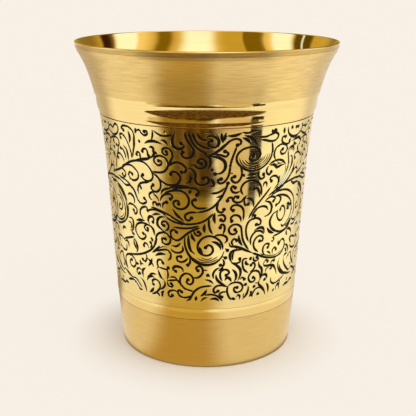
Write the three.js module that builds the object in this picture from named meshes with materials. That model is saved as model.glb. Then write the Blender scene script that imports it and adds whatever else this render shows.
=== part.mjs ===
import * as THREE from "three";

// A tall flared brass tumbler: a polished inner cup dressed with spun outer pieces.
// Sizes are millimetres, +Z is up, and the foot stands on z = 0.

// Line of the outer wall
const HEIGHT = 108;
const FOOT_RADIUS = 30.6;
const FOOT_HEIGHT = 18.4;
const FOOT_SPREAD = 1.7;
const BODY_TAPER = 0.063;
const FLARE_HEIGHT = 38;
const FLARE_REACH = 5.34;
const CURL_HEIGHT = 12;
const CURL_REACH = 1.25;
const LIP_HEIGHT = 3;
const LIP_ANGLE = THREE.MathUtils.degToRad(16);

// Sheets and clearances
const OUTER_SHEET = 0.8;
const CUP_SHEET = 0.5;
const BASE_SHEET = 0.8;
const SOLDER_FILM = 0.1;
const BASE_CLEARANCE = 0.3;

// Lip of the cup, turned over the collar's edge
const HEM_PROUD = 0.15;
const HEM_DEPTH = 1.5;

// Heights and reliefs of the dressed bands
const COLLAR_HEIGHT = 14.6;
const COLLAR_ROLL = 0.3;
const COLLAR_ROLL_HEIGHT = 1.8;
const UPPER_BEAD_HEIGHT = 4.8;
const UPPER_BEAD_RISE = 0.17;
const UPPER_STRIP_HEIGHT = 1.8;
const UPPER_STRIP_RISE = 0.26;
const UPPER_GROOVE = 0.32;
const LOWER_RING_HEIGHT = 3.9;
const LOWER_BEAD_RISE = 0.3;
const LOWER_GROOVE = 0.16;

// Bottom of the cup, the foot's edge and the base
const CUP_CORNER_RADIUS = 5;
const FOOT_EDGE_RADIUS = 0.6;
const FOOT_FLANGE = 4;
const BASE_RISE = 1;
const BASE_STEP_RADIUS = 22.5;
const BASE_STEP_WIDTH = 1;
const SOLDER_LEG = 0.6;

// Facets
const AROUND = 60;
const FLARE_STEPS = 9;
const LIP_STEPS = 7;
const CORNER_STEPS = 4;
const BEAD_STEPS = 6;
const EDGE_STEPS = 3;

// Places that several pieces share
const WAIST_RADIUS = FOOT_RADIUS + FOOT_SPREAD;
const LIP_BEND = HEIGHT - LIP_HEIGHT;
const FLARE_START = LIP_BEND - FLARE_HEIGHT;
const CURL_START = LIP_BEND - CURL_HEIGHT;
const COLLAR_BOTTOM = LIP_BEND - COLLAR_HEIGHT;
const UPPER_GROOVE_AT = COLLAR_BOTTOM - UPPER_BEAD_HEIGHT;
const SLEEVE_TOP = UPPER_GROOVE_AT - UPPER_STRIP_HEIGHT;
const SLEEVE_BOTTOM = FOOT_HEIGHT + LOWER_RING_HEIGHT;
const CUP_BACK = -(OUTER_SHEET + SOLDER_FILM);
const CUP_FRONT = CUP_BACK - CUP_SHEET;
const HEM_BACK = HEM_PROUD - CUP_SHEET;
const RIM_RADIUS = (HEM_PROUD - CUP_FRONT) / 2;
const RIM_MIDDLE = (HEM_PROUD + CUP_FRONT) / 2;
const RIM_AT = HEIGHT - RIM_RADIUS + RIM_MIDDLE * Math.sin(LIP_ANGLE);
const HEM_EDGE = RIM_AT - HEM_DEPTH;
const BASE_BOTTOM = OUTER_SHEET + SOLDER_FILM;
const CUP_UNDERSIDE = BASE_BOTTOM + BASE_RISE + BASE_SHEET + SOLDER_FILM;
const CUP_FLOOR = CUP_UNDERSIDE + CUP_SHEET;
const FLANGE_RADIUS = FOOT_RADIUS - FOOT_FLANGE;

// Radius of the outer wall at a height: a tapered foot, a straight cone, a parabola that
// opens the flare, a cubic that curls it near the mouth, and the lip turned up at the end.
function wallRadius(z) {
  if (z < FOOT_HEIGHT) {
    return FOOT_RADIUS + (FOOT_SPREAD * z) / FOOT_HEIGHT;
  }
  const below = Math.min(z, LIP_BEND);
  const flare = Math.max(0, below - FLARE_START) / FLARE_HEIGHT;
  const curl = Math.max(0, below - CURL_START) / CURL_HEIGHT;
  const cone = WAIST_RADIUS + BODY_TAPER * (below - FOOT_HEIGHT);
  const lip = Math.tan(LIP_ANGLE) * (z - below);
  return cone + FLARE_REACH * flare ** 2 + CURL_REACH * curl ** 3 + lip;
}

// Lean of the wall from upright, in radians
function wallLean(z) {
  const reach = HEIGHT / 10000;
  return Math.atan((wallRadius(z + reach) - wallRadius(z - reach)) / (2 * reach));
}

// Point square off the wall line: a positive offset lies outside it
function wallPoint(z, offset) {
  const lean = wallLean(z);
  return new THREE.Vector2(wallRadius(z) + offset * Math.cos(lean), z - offset * Math.sin(lean));
}

function arc(centre, radius, from, to, steps) {
  const points = [];
  for (let i = 0; i <= steps; i += 1) {
    const angle = from + ((to - from) * i) / steps;
    const reach = new THREE.Vector2(Math.cos(angle), Math.sin(angle)).multiplyScalar(radius);
    points.push(reach.add(centre));
  }
  return points;
}

function spread(low, high, steps) {
  const heights = [];
  for (let i = 0; i <= steps; i += 1) {
    heights.push(low + ((high - low) * i) / steps);
  }
  return heights;
}

// Heights at which every wall between low and high has a ring of corners
function stations(low, high) {
  const bends = [FOOT_HEIGHT, ...spread(FLARE_START, LIP_BEND, FLARE_STEPS)];
  const clear = SOLDER_FILM;
  const inside = bends.filter((z) => z > low + clear && z < high - clear);
  return [low, ...inside, high];
}

function wallLine(heights, offset) {
  return heights.map((z) => wallPoint(z, typeof offset === "function" ? offset(z) : offset));
}

// Closed section of a band: up its outer face, then down its back
function bandSection(outerHeights, outerOffset) {
  const low = outerHeights[0];
  const high = outerHeights[outerHeights.length - 1];
  const face = wallLine(outerHeights, outerOffset);
  const back = wallLine(stations(low, high), -OUTER_SHEET).reverse();
  return [...face, ...back, face[0].clone()];
}

function piece(name, section, colour, roughness) {
  const geometry = new THREE.LatheGeometry(section, AROUND);
  geometry.rotateX(Math.PI / 2);
  const material = new THREE.MeshStandardMaterial({ color: colour, roughness, metalness: 1 });
  const mesh = new THREE.Mesh(geometry, material);
  mesh.name = name;
  return mesh;
}

// Cup: one sheet from the floor up the wall, over the lip and down outside the collar
function cupSection() {
  const low = wallLean(FOOT_HEIGHT / 2);
  const cornerReach = CUP_CORNER_RADIUS - CUP_FRONT;
  const cornerAt = CUP_FLOOR + CUP_CORNER_RADIUS - cornerReach * Math.sin(low);
  const corner = wallPoint(cornerAt, -cornerReach);
  const rim = wallPoint(RIM_AT, RIM_MIDDLE);
  const climb = stations(cornerAt, RIM_AT);
  const down = -Math.PI / 2;
  const out = -LIP_ANGLE;
  const back = Math.PI - LIP_ANGLE;
  return [
    new THREE.Vector2(0, CUP_UNDERSIDE),
    ...arc(corner, CUP_CORNER_RADIUS + CUP_SHEET, down, -low, CORNER_STEPS),
    ...wallLine(climb.slice(1, -1), CUP_BACK),
    ...arc(rim, RIM_RADIUS - CUP_SHEET, back, out, EDGE_STEPS),
    wallPoint(HEM_EDGE, HEM_BACK),
    wallPoint(HEM_EDGE, HEM_PROUD),
    ...arc(rim, RIM_RADIUS, out, back, LIP_STEPS),
    ...wallLine(climb.slice(1, -1), CUP_FRONT).reverse(),
    ...arc(corner, CUP_CORNER_RADIUS, -low, down, CORNER_STEPS),
    new THREE.Vector2(0, CUP_FLOOR),
  ];
}

// Collar: rolled in at its lower edge and stepped back where the cup's lip covers it
function collarSection() {
  const low = COLLAR_BOTTOM + SOLDER_FILM / 2;
  const shoulder = HEM_EDGE - SOLDER_FILM;
  const top = RIM_AT - SOLDER_FILM;
  const rollTop = low + COLLAR_ROLL_HEIGHT;
  const roll = spread(low, rollTop, EDGE_STEPS);
  const rollOffset = (z) => {
    const below = (rollTop - z) / COLLAR_ROLL_HEIGHT;
    return COLLAR_ROLL * (Math.sqrt(Math.max(0, 1 - below ** 2)) - 1);
  };
  const face = wallLine(roll, rollOffset);
  const tucked = HEM_BACK - SOLDER_FILM;
  return [
    ...face,
    ...wallLine(stations(rollTop, shoulder).slice(1), 0),
    wallPoint(shoulder, tucked),
    wallPoint(top, tucked),
    ...wallLine(stations(low, top), -OUTER_SHEET).reverse(),
    face[0].clone(),
  ];
}

// Upper ring: a narrow strip that rises to the sleeve, a groove, and a round bead above it
function upperRingSection() {
  const low = SLEEVE_TOP + SOLDER_FILM / 2;
  const high = COLLAR_BOTTOM - SOLDER_FILM / 2;
  const offset = (z) => {
    if (z < UPPER_GROOVE_AT) {
      const fall = (UPPER_GROOVE_AT - z) / UPPER_STRIP_HEIGHT;
      return UPPER_STRIP_RISE * Math.sin((fall * Math.PI) / 2) - UPPER_GROOVE;
    }
    const climb = (z - UPPER_GROOVE_AT) / UPPER_BEAD_HEIGHT;
    return UPPER_BEAD_RISE * Math.sin(climb * Math.PI) - UPPER_GROOVE;
  };
  const strip = spread(low, UPPER_GROOVE_AT, EDGE_STEPS);
  const bead = spread(UPPER_GROOVE_AT, high, BEAD_STEPS);
  return bandSection([...strip, ...bead.slice(1)], offset);
}

function sleeveSection() {
  const low = SLEEVE_BOTTOM + SOLDER_FILM / 2;
  const high = SLEEVE_TOP - SOLDER_FILM / 2;
  return bandSection(stations(low, high), 0);
}

// Lower ring: one half-round bead between two fine grooves
function lowerRingSection() {
  const low = FOOT_HEIGHT + SOLDER_FILM / 2;
  const high = SLEEVE_BOTTOM - SOLDER_FILM / 2;
  const offset = (z) => {
    const climb = (z - FOOT_HEIGHT) / LOWER_RING_HEIGHT;
    return LOWER_BEAD_RISE * Math.sin(climb * Math.PI) - LOWER_GROOVE;
  };
  return bandSection(spread(low, high, BEAD_STEPS), offset);
}

// Foot: a tapered skirt whose bottom edge is turned in to a flat ring
function footSection() {
  const lean = wallLean(FOOT_HEIGHT / 2);
  const high = FOOT_HEIGHT - SOLDER_FILM / 2;
  const edgeAt = FOOT_EDGE_RADIUS * (1 - Math.sin(lean));
  const edge = wallPoint(edgeAt, -FOOT_EDGE_RADIUS);
  const insideAt = OUTER_SHEET * (1 - Math.sin(lean));
  const start = new THREE.Vector2(FLANGE_RADIUS, 0);
  return [
    start,
    ...arc(edge, FOOT_EDGE_RADIUS, -Math.PI / 2, -lean, CORNER_STEPS),
    wallPoint(high, 0),
    wallPoint(high, -OUTER_SHEET),
    wallPoint(insideAt, -OUTER_SHEET),
    new THREE.Vector2(FLANGE_RADIUS, OUTER_SHEET),
    start.clone(),
  ];
}

// Base: a pressed disc on the foot's flange, its raised middle under the cup's floor
function baseSection() {
  const edge = wallPoint(BASE_BOTTOM, -OUTER_SHEET).x - BASE_CLEARANCE;
  const outer = BASE_STEP_RADIUS + BASE_STEP_WIDTH;
  return [
    new THREE.Vector2(0, BASE_BOTTOM + BASE_RISE),
    new THREE.Vector2(BASE_STEP_RADIUS, BASE_BOTTOM + BASE_RISE),
    new THREE.Vector2(outer, BASE_BOTTOM),
    new THREE.Vector2(edge, BASE_BOTTOM),
    new THREE.Vector2(edge, BASE_BOTTOM + BASE_SHEET),
    new THREE.Vector2(outer, BASE_BOTTOM + BASE_SHEET),
    new THREE.Vector2(BASE_STEP_RADIUS, BASE_BOTTOM + BASE_RISE + BASE_SHEET),
    new THREE.Vector2(0, BASE_BOTTOM + BASE_RISE + BASE_SHEET),
  ];
}

// Solder: a hollow fillet in the corner between the foot's flange and the base
function solderSection() {
  const top = BASE_BOTTOM - SOLDER_FILM;
  const side = FLANGE_RADIUS - SOLDER_FILM;
  const hollow = new THREE.Vector2(side - SOLDER_LEG, top - SOLDER_LEG);
  const fillet = arc(hollow, SOLDER_LEG, Math.PI / 2, 0, EDGE_STEPS);
  return [...fillet, new THREE.Vector2(side, top), fillet[0].clone()];
}

const tumbler = new THREE.Group();
tumbler.name = "tall_tumbler";
tumbler.add(piece("inner_cup", cupSection(), "#d9b054", 0.12));
tumbler.add(piece("mouth_collar", collarSection(), "#d3b684", 0.42));
tumbler.add(piece("upper_ring", upperRingSection(), "#d8b463", 0.15));
tumbler.add(piece("engraved_sleeve", sleeveSection(), "#dcbf78", 0.22));
tumbler.add(piece("lower_ring", lowerRingSection(), "#d8b463", 0.15));
tumbler.add(piece("foot_shell", footSection(), "#d3b684", 0.42));
tumbler.add(piece("base_disc", baseSection(), "#cfae70", 0.45));
tumbler.add(piece("base_solder", solderSection(), "#b9b6ad", 0.5));

export default tumbler;
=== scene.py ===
"""A tall flared brass tumbler with an engraved sleeve, built as fine surfaces around its solids.

Run as a script, it makes every piece of the tumbler and a plain studio to show it in.
"""

import math

import bpy
import numpy as np
from bpy.props import FloatProperty, FloatVectorProperty, IntProperty, PointerProperty
from mathutils import Matrix, Vector
from mathutils.geometry import delaunay_2d_cdt


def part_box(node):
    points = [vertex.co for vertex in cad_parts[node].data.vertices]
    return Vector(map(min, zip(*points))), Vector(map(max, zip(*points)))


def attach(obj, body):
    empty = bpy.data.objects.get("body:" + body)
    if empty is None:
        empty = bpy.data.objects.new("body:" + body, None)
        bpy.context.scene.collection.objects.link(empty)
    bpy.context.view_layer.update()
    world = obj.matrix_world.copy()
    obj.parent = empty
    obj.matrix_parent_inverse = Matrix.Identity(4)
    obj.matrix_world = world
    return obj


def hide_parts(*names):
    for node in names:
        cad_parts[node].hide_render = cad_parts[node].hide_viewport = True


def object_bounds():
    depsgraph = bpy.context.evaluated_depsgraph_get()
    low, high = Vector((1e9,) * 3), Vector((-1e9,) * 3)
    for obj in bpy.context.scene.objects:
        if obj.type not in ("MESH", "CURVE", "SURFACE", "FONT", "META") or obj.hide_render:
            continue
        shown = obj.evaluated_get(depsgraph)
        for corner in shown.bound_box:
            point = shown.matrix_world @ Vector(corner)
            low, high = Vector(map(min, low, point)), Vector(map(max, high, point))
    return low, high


bl_info = {
    "name": "Tall engraved tumbler",
    "version": (1, 0, 0),
    "blender": (4, 5, 0),
    "location": "3D View > Sidebar > Tumbler",
    "description": "Builds a flared brass tumbler with an engraved sleeve, and a studio for it",
    "category": "Object",
}

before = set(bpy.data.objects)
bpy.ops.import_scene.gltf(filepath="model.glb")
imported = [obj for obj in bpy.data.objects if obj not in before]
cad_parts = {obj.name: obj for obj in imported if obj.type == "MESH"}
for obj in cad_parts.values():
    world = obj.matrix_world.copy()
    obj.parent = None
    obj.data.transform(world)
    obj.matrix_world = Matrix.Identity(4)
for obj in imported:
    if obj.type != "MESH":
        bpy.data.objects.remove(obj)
CAD_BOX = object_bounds()

MM = 0.001
BODY = "root"
BAKE_MAP = "OFBake"


def linear(hex_colour):
    """Linear red, green and blue of an sRGB colour written as #rrggbb."""
    coded = np.array([int(hex_colour[i : i + 2], 16) for i in (1, 3, 5)]) / 255
    curve = np.where(coded <= 0.04045, coded / 12.92, ((coded + 0.055) / 1.055) ** 2.4)
    return tuple(float(part) for part in curve)


def length(name, description, millimetres):
    """A length property, given in millimetres and kept in metres."""
    return FloatProperty(
        name=name,
        description=description,
        default=millimetres * MM,
        precision=5,
        unit="LENGTH",
    )


def colour(name, description, hex_colour):
    """A colour property, given as an sRGB hex value and kept as linear parts."""
    return FloatVectorProperty(
        name=name,
        description=description,
        subtype="COLOR",
        size=3,
        default=linear(hex_colour),
        min=0,
        max=1,
    )


class TumblerSizes(bpy.types.PropertyGroup):
    """Sizes of the wall line and of the pieces that dress it"""

    height: length("Height", "From the foot to the top of the lip", CAD_BOX[1][2] / MM)
    foot_radius: length("Foot radius", "Wall radius at the bottom of the foot", 30.6)
    foot_spread: length("Foot spread", "How much the foot widens up to its top", 1.7)
    foot_height: length("Foot height", "Top of the satin foot", 18.4)
    body_taper: FloatProperty(
        name="Body taper",
        description="Widening of the body for each unit of height",
        default=0.063,
        min=0,
        max=1,
        subtype="FACTOR",
    )
    flare_height: length("Flare height", "From the start of the flare to the lip's bend", 38)
    flare_reach: length("Flare reach", "What the flare adds to the radius", 5.34)
    curl_height: length("Curl height", "Height over which the mouth curls out further", 12)
    curl_reach: length("Curl reach", "What that curl adds to the radius", 1.25)
    lip_height: length("Lip height", "From the lip's bend to its top", 3)
    lip_angle: FloatProperty(
        name="Lip angle",
        description="Lean of the lip from upright",
        default=math.radians(16),
        subtype="ANGLE",
    )
    outer_sheet: length("Outer sheet", "Thickness of the collar, rings, sleeve and foot", 0.8)
    cup_sheet: length("Cup sheet", "Thickness of the inner cup", 0.5)
    base_sheet: length("Base sheet", "Thickness of the base disc", 0.8)
    film: length("Solder film", "Gap that stands for the solder between two pieces", 0.1)
    hem_proud: length("Hem proud", "How far the lip's hem stands out of the wall", 0.09)
    hem_depth: length("Hem depth", "How far the hem reaches down the collar", 0.95)
    collar_height: length("Collar height", "Satin collar below the lip's bend", 14.6)
    collar_draw: length("Collar draw", "How far the collar's lower end is drawn in", 0.14)
    collar_draw_height: length("Collar draw height", "Height over which it is drawn in", 6)
    collar_kick: length("Collar kick", "How far the collar's lower edge then turns out", 0.1)
    collar_kick_height: length("Collar kick height", "Height over which it turns out", 1.4)
    upper_bead: length("Upper bead", "Height of the upper ring's bead", 4.8)
    upper_bead_rise: length("Upper bead rise", "Swell of that bead", 0.17)
    upper_bead_tilt: length("Upper bead tilt", "How much further in the bead's top lies", 0.55)
    upper_sunk: length("Upper sunk", "How far in the bead lies before its swell", 0.27)
    upper_strip: length("Upper strip", "Height of the narrow strip under the bead", 1.8)
    upper_strip_sunk: length("Upper strip sunk", "How far in the strip's top lies", 0.35)
    upper_strip_rise: length("Upper strip rise", "How far that strip swells out downwards", 0.14)
    upper_slot: length("Upper slot", "Depth of the fine slot between strip and sleeve", 0.6)
    upper_slot_height: length("Upper slot height", "Height of that slot", 0.25)
    sleeve_turn: length("Sleeve turn", "How far the sleeve's top is turned in", 0.28)
    sleeve_turn_height: length("Sleeve turn height", "Height over which it turns in", 11.75)
    lower_ring: length("Lower ring", "Height of the lower ring", 3.9)
    lower_bead_rise: length("Lower bead rise", "Swell of the lower ring", 0.16)
    lower_groove: length("Lower groove", "Depth of the lower ring's edges", 0.04)
    cup_corner: length("Cup corner", "Radius between the cup's floor and its wall", 5)
    foot_edge: length("Foot edge", "Radius of the foot's bottom edge", 0.6)
    foot_flange: length("Foot flange", "Width of the ring that it stands on", 4)
    base_rise: length("Base rise", "How far the base's middle is pressed up", 1)
    base_step: length("Base step", "Radius of the pressed middle", 22.5)
    base_step_width: length("Base step width", "Slope round the pressed middle", 1)
    base_clearance: length("Base clearance", "Gap between the base and the foot", 0.3)
    solder_leg: length("Solder leg", "Size of the fillet of solder", 0.6)
    around: IntProperty(name="Facets", description="Facets around the axis", default=256, min=48)


class EngravingSizes(bpy.types.PropertyGroup):
    """Sizes of the engraved lines"""

    repeats: IntProperty(name="Repeats", description="Times that the drawing goes round", default=3)
    line: length("Line", "Width of a plain line", 0.86)
    broad: length("Broad line", "Width of a swelling line", 1.15)
    hair: length("Hairline", "Width of a shading line", 0.46)
    ball: length("Ball", "Diameter of the dot that ends a curl", 1.36)
    depth: length("Depth", "Depth of the lacquer below the metal", 0.12)
    bevel: length("Bevel", "Width of the cut's sloping side", 0.08)
    land: length("Land", "Spacing of the corners on the plain metal", 2.2)


class TumblerColours(bpy.types.PropertyGroup):
    """Colours of the finishes"""

    mirror: colour("Mirror brass", "Inside of the cup", "#efc56b")
    polished: colour("Polished brass", "Rings", "#eccf88")
    engraved: colour("Engraved brass", "Metal between the engraved lines", "#edd692")
    satin: colour("Satin brass", "Collar", "#e3c37c")
    # The lip's tint is the satin brass darkened as painted shade on the hem's outside.
    lip: colour("Satin lip", "Outside of the lip's hem", "#c9a663")
    satin_streak: colour("Satin streak", "Darker brush lines on the collar", "#d3b370")
    foot: colour("Foot brass", "Foot", "#dfbf76")
    foot_streak: colour("Foot streak", "Darker brush lines on the foot", "#d7b776")
    base: colour("Base brass", "Pressed sheet under the foot", "#dcbd80")
    lacquer: colour("Lacquer", "Black filling of the engraved lines", "#120e09")
    solder: colour("Solder", "Soft solder under the base", "#b9b6ad")
    floor: colour("Floor", "Pale floor and backdrop", "#f7efe4")


class StudioSizes(bpy.types.PropertyGroup):
    """Camera and floor"""

    camera_across: length("Camera across", "Camera's place along X", 0.55)
    camera_back: length("Camera back", "Camera's distance in front of the axis", 288.4)
    camera_height: length("Camera height", "Camera's height above the floor", 130.3)
    camera_tilt: FloatProperty(
        name="Camera tilt",
        description="How far the camera looks down",
        default=math.radians(15.92),
        subtype="ANGLE",
    )
    camera_roll: FloatProperty(
        name="Camera roll",
        description="Turn of the camera about its own view",
        default=math.radians(0.22),
        subtype="ANGLE",
    )
    lens: FloatProperty(
        name="Lens",
        description="Focal length for a 36 mm sensor",
        default=71.82,
        subtype="DISTANCE_CAMERA",
    )
    floor_side: length("Floor side", "Side of the square floor", 40000)


class WallLine:
    """Line of the outer wall, from which every dressed piece is offset.

    Its radius is a slow taper up the foot, then a straight cone, plus the square of the height above
    the start of the flare, plus the cube of the height above the start of the mouth's curl, and a
    straight lip at the end.
    """

    def __init__(self, sizes):
        self.sizes = sizes
        self.waist = sizes.foot_radius + sizes.foot_spread
        self.lip_bend = sizes.height - sizes.lip_height
        self.flare_start = self.lip_bend - sizes.flare_height
        self.curl_start = self.lip_bend - sizes.curl_height
        self.collar_bottom = self.lip_bend - sizes.collar_height
        self.groove = self.collar_bottom - sizes.upper_bead
        self.sleeve_top = self.groove - sizes.upper_strip
        self.sleeve_bottom = sizes.foot_height + sizes.lower_ring
        self.cup_back = -(sizes.outer_sheet + sizes.film)
        self.cup_front = self.cup_back - sizes.cup_sheet
        self.hem_back = sizes.hem_proud - sizes.cup_sheet
        self.rim_radius = (sizes.hem_proud - self.cup_front) / 2
        self.rim_middle = (sizes.hem_proud + self.cup_front) / 2
        self.rim = sizes.height - self.rim_radius + self.rim_middle * math.sin(sizes.lip_angle)
        self.hem_edge = self.rim - sizes.hem_depth
        self.base_bottom = sizes.outer_sheet + sizes.film
        self.cup_underside = self.base_bottom + sizes.base_rise + sizes.base_sheet + sizes.film
        self.flange = sizes.foot_radius - sizes.foot_flange

    def radius(self, z):
        """Radius of the wall at a height."""
        sizes = self.sizes
        foot = sizes.foot_radius + sizes.foot_spread * z / sizes.foot_height
        below = np.minimum(z, self.lip_bend)
        flare = np.clip(below - self.flare_start, 0, None) / sizes.flare_height
        curl = np.clip(below - self.curl_start, 0, None) / sizes.curl_height
        body = self.waist + sizes.body_taper * (below - sizes.foot_height)
        lip = math.tan(sizes.lip_angle) * (z - below)
        above = body + sizes.flare_reach * flare**2 + sizes.curl_reach * curl**3 + lip
        return np.where(z < sizes.foot_height, foot, above)

    def lean(self, z):
        """Angle of the wall from upright, from its slope over a hundredth of a millimetre either way."""
        reach = 0.01 * MM
        return np.arctan((self.radius(z + reach) - self.radius(z - reach)) / (2 * reach))

    def points(self, z, offset=0.0):
        """Radius and height of points set square off the wall by offset, outwards if positive."""
        z = np.atleast_1d(np.asarray(z, float))
        lean = self.lean(z)
        return np.column_stack((self.radius(z) + offset * np.cos(lean), z - offset * np.sin(lean)))

    def heights(self, low, high):
        """Heights between two edges, close together where the wall curves."""
        plain_step, curved_step, clear = 4 * MM, 0.75 * MM, 0.2 * MM
        plain = np.arange(0, self.flare_start, plain_step)
        curved = np.arange(self.flare_start, self.sizes.height, curved_step)
        bends = np.array([self.sizes.foot_height, self.lip_bend])
        inside = np.unique(np.concatenate((plain, curved, bends)))
        inside = inside[(inside > low + clear) & (inside < high - clear)]
        return np.concatenate(([low], inside, [high]))


def arc(centre, radius, start, stop, steps):
    """Points on a circle about centre, from one angle to another in equal steps."""
    angle = np.linspace(start, stop, steps + 1)
    return np.asarray(centre) + radius * np.column_stack((np.cos(angle), np.sin(angle)))


def rounded(before, corner, after, cut, steps):
    """Points of a parabola that rounds a corner, touching both its sides at a distance of cut."""
    before, corner, after = (np.asarray(place, float) for place in (before, corner, after))
    start = corner + cut * (before - corner) / np.linalg.norm(before - corner)
    stop = corner + cut * (after - corner) / np.linalg.norm(after - corner)
    share = np.linspace(0, 1, steps + 1)[:, None]
    return (1 - share) ** 2 * start + 2 * share * (1 - share) * corner + share**2 * stop


def eased(start, stop, slopes, steps):
    """Points of a cubic between two places, given the slope of radius over height at each end."""
    share = np.linspace(0, 1, steps + 1)
    rise = stop[1] - start[1]
    radius = (
        (1 + 2 * share) * (1 - share) ** 2 * start[0]
        + share * (1 - share) ** 2 * rise * slopes[0]
        + share**2 * (3 - 2 * share) * stop[0]
        - share**2 * (1 - share) * rise * slopes[1]
    )
    return np.column_stack((radius, start[1] + share * rise))


def cup_section(wall):
    """Section of the cup: one sheet from the floor up the wall, over the lip and down as a hem.

    The hem's outside leans in a little towards the top of the lip, and near the mouth the lining is a
    cubic that leans out to the lip's inner edge. Both edges of the lip are rounded. Returns the section
    and, for each of its points, whether the stretch after it is the hem's outside.
    """
    sizes = wall.sizes
    outer_drop, outer_round, hem_top = 0.3 * MM, 0.3 * MM, -0.06 * MM
    inner_drop, inner_round, inner_offset = 0.25 * MM, 0.35 * MM, -0.75 * MM
    mouth_depth, mouth_lean = 8 * MM, math.radians(30)
    low = float(wall.lean(sizes.foot_height / 2))
    floor = wall.cup_underside + sizes.cup_sheet
    reach = sizes.cup_corner - wall.cup_front
    corner_height = floor + sizes.cup_corner - reach * math.sin(low)
    corner = wall.points(corner_height, -reach)[0]
    rim = wall.points(wall.rim, wall.rim_middle)[0]
    climb = wall.heights(corner_height, wall.rim)[1:-1]
    down, out = -math.pi / 2, -sizes.lip_angle
    back = math.pi - sizes.lip_angle
    top = sizes.height - outer_drop
    hem = np.linspace(wall.hem_edge, top - outer_round, 6)
    hem_share = (hem - wall.hem_edge) / (top - wall.hem_edge)
    hem_face = wall.points(hem, sizes.hem_proud + (hem_top - sizes.hem_proud) * hem_share)
    outer = wall.points(top, hem_top)[0]
    inner = wall.points(sizes.height - inner_drop, inner_offset)[0]
    mouth = sizes.height - mouth_depth
    slopes = math.tan(wall.lean(mouth)), math.tan(mouth_lean)
    lining = np.vstack(
        (
            wall.points(climb[climb < mouth], wall.cup_front),
            eased(wall.points(mouth, wall.cup_front)[0], inner, slopes, 16)[:-1],
        )
    )
    runs = [
        [(0, wall.cup_underside)],
        arc(corner, sizes.cup_corner + sizes.cup_sheet, down, -low, 10),
        wall.points(climb, wall.cup_back),
        arc(rim, wall.rim_radius - sizes.cup_sheet, back, out, 10),
        wall.points(wall.hem_edge, wall.hem_back),
        hem_face,
        rounded(wall.points(hem[0], sizes.hem_proud)[0], outer, inner, outer_round, 6),
        rounded(outer, inner, lining[-1], inner_round, 6),
        lining[::-1],
        arc(corner, sizes.cup_corner, -low, down, 10),
        [(0, floor)],
    ]
    outside = [run is hem_face for run in runs for _ in run]
    return np.vstack(runs), np.array(outside)


def collar_section(wall):
    """Section of the collar: its lower end is drawn in and its edge turned out again, each by the square
    of the distance from where it starts, and its top steps back under the lip's hem.

    Returns the section and, for each of its points, whether the stretch after it is in the burnished
    lower part of the turned edge.
    """
    sizes = wall.sizes
    kick_steps, burnished_steps = 12, 9
    low = wall.collar_bottom + sizes.film / 2
    shoulder = wall.hem_edge - sizes.film
    top = wall.rim - sizes.film
    kick_top = low + sizes.collar_kick_height
    kick = np.linspace(low, kick_top, kick_steps + 1)
    kicked = sizes.collar_kick * ((kick_top - kick) / sizes.collar_kick_height) ** 2
    face = wall.heights(kick_top, shoulder)[1:]
    tucked = wall.hem_back - sizes.film

    def drawn(heights):
        """How far in the face lies at these heights."""
        return sizes.collar_draw * np.clip(1 - (heights - low) / sizes.collar_draw_height, 0, 1) ** 2

    section = np.vstack(
        (
            wall.points(kick, kicked - drawn(kick)),
            wall.points(face, -drawn(face)),
            wall.points(shoulder, tucked),
            wall.points(top, tucked),
            wall.points(wall.heights(low, top)[::-1], -sizes.outer_sheet),
        )
    )
    return section, np.arange(len(section)) < burnished_steps


def band_section(wall, heights, offset):
    """Section of a band: up its face, whose offset is given at each height, and down its back."""
    back = wall.heights(heights[0], heights[-1])[::-1]
    return np.vstack((wall.points(heights, offset), wall.points(back, -wall.sizes.outer_sheet)))


def upper_ring_section(wall):
    """Section of the upper ring: a fine slot over the sleeve, a strip that swells out downwards by
    a parabola, and a bead that is half a sine on a slope."""
    sizes = wall.sizes
    step = 0.02 * MM
    low = wall.sleeve_top + sizes.film / 2
    slot = np.linspace(low, low + sizes.upper_slot_height, 3)
    strip = np.linspace(slot[-1] + step, wall.groove - step, 8)
    bead = np.linspace(wall.groove, wall.collar_bottom - sizes.film / 2, 30)
    fall = (wall.groove - strip) / sizes.upper_strip
    climb = (bead - wall.groove) / sizes.upper_bead
    swell = sizes.upper_bead_rise * np.sin(climb * math.pi) + sizes.upper_bead_tilt * (0.5 - climb)
    strip_swell = sizes.upper_strip_rise * fall * (2 - fall)
    offset = np.concatenate(
        (
            np.full(len(slot), -sizes.upper_slot),
            strip_swell - sizes.upper_strip_sunk,
            swell - sizes.upper_sunk,
        )
    )
    return band_section(wall, np.concatenate((slot, strip, bead)), offset)


def lower_ring_section(wall):
    """Section of the lower ring: one bead, half a sine between two fine grooves."""
    sizes = wall.sizes
    gap = sizes.film / 2
    heights = np.linspace(sizes.foot_height + gap, wall.sleeve_bottom - gap, 28)
    climb = (heights - sizes.foot_height) / sizes.lower_ring
    offset = sizes.lower_bead_rise * np.sin(climb * math.pi) - sizes.lower_groove
    return band_section(wall, heights, offset)


def foot_section(wall):
    """Section of the foot: a tapered skirt whose bottom edge is turned in to a flat ring."""
    sizes = wall.sizes
    lean = float(wall.lean(sizes.foot_height / 2))
    top = sizes.foot_height - sizes.film / 2
    edge_height = sizes.foot_edge * (1 - math.sin(lean))
    edge = wall.points(edge_height, -sizes.foot_edge)[0]
    skirt = np.linspace(edge_height, top, 16)[1:]
    inside = sizes.outer_sheet * (1 - math.sin(lean))
    return np.vstack(
        (
            [(wall.flange, 0)],
            arc(edge, sizes.foot_edge, -math.pi / 2, -lean, 8),
            wall.points(skirt),
            wall.points(np.array([top, inside]), -sizes.outer_sheet),
            [(wall.flange, sizes.outer_sheet)],
        )
    )


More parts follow.
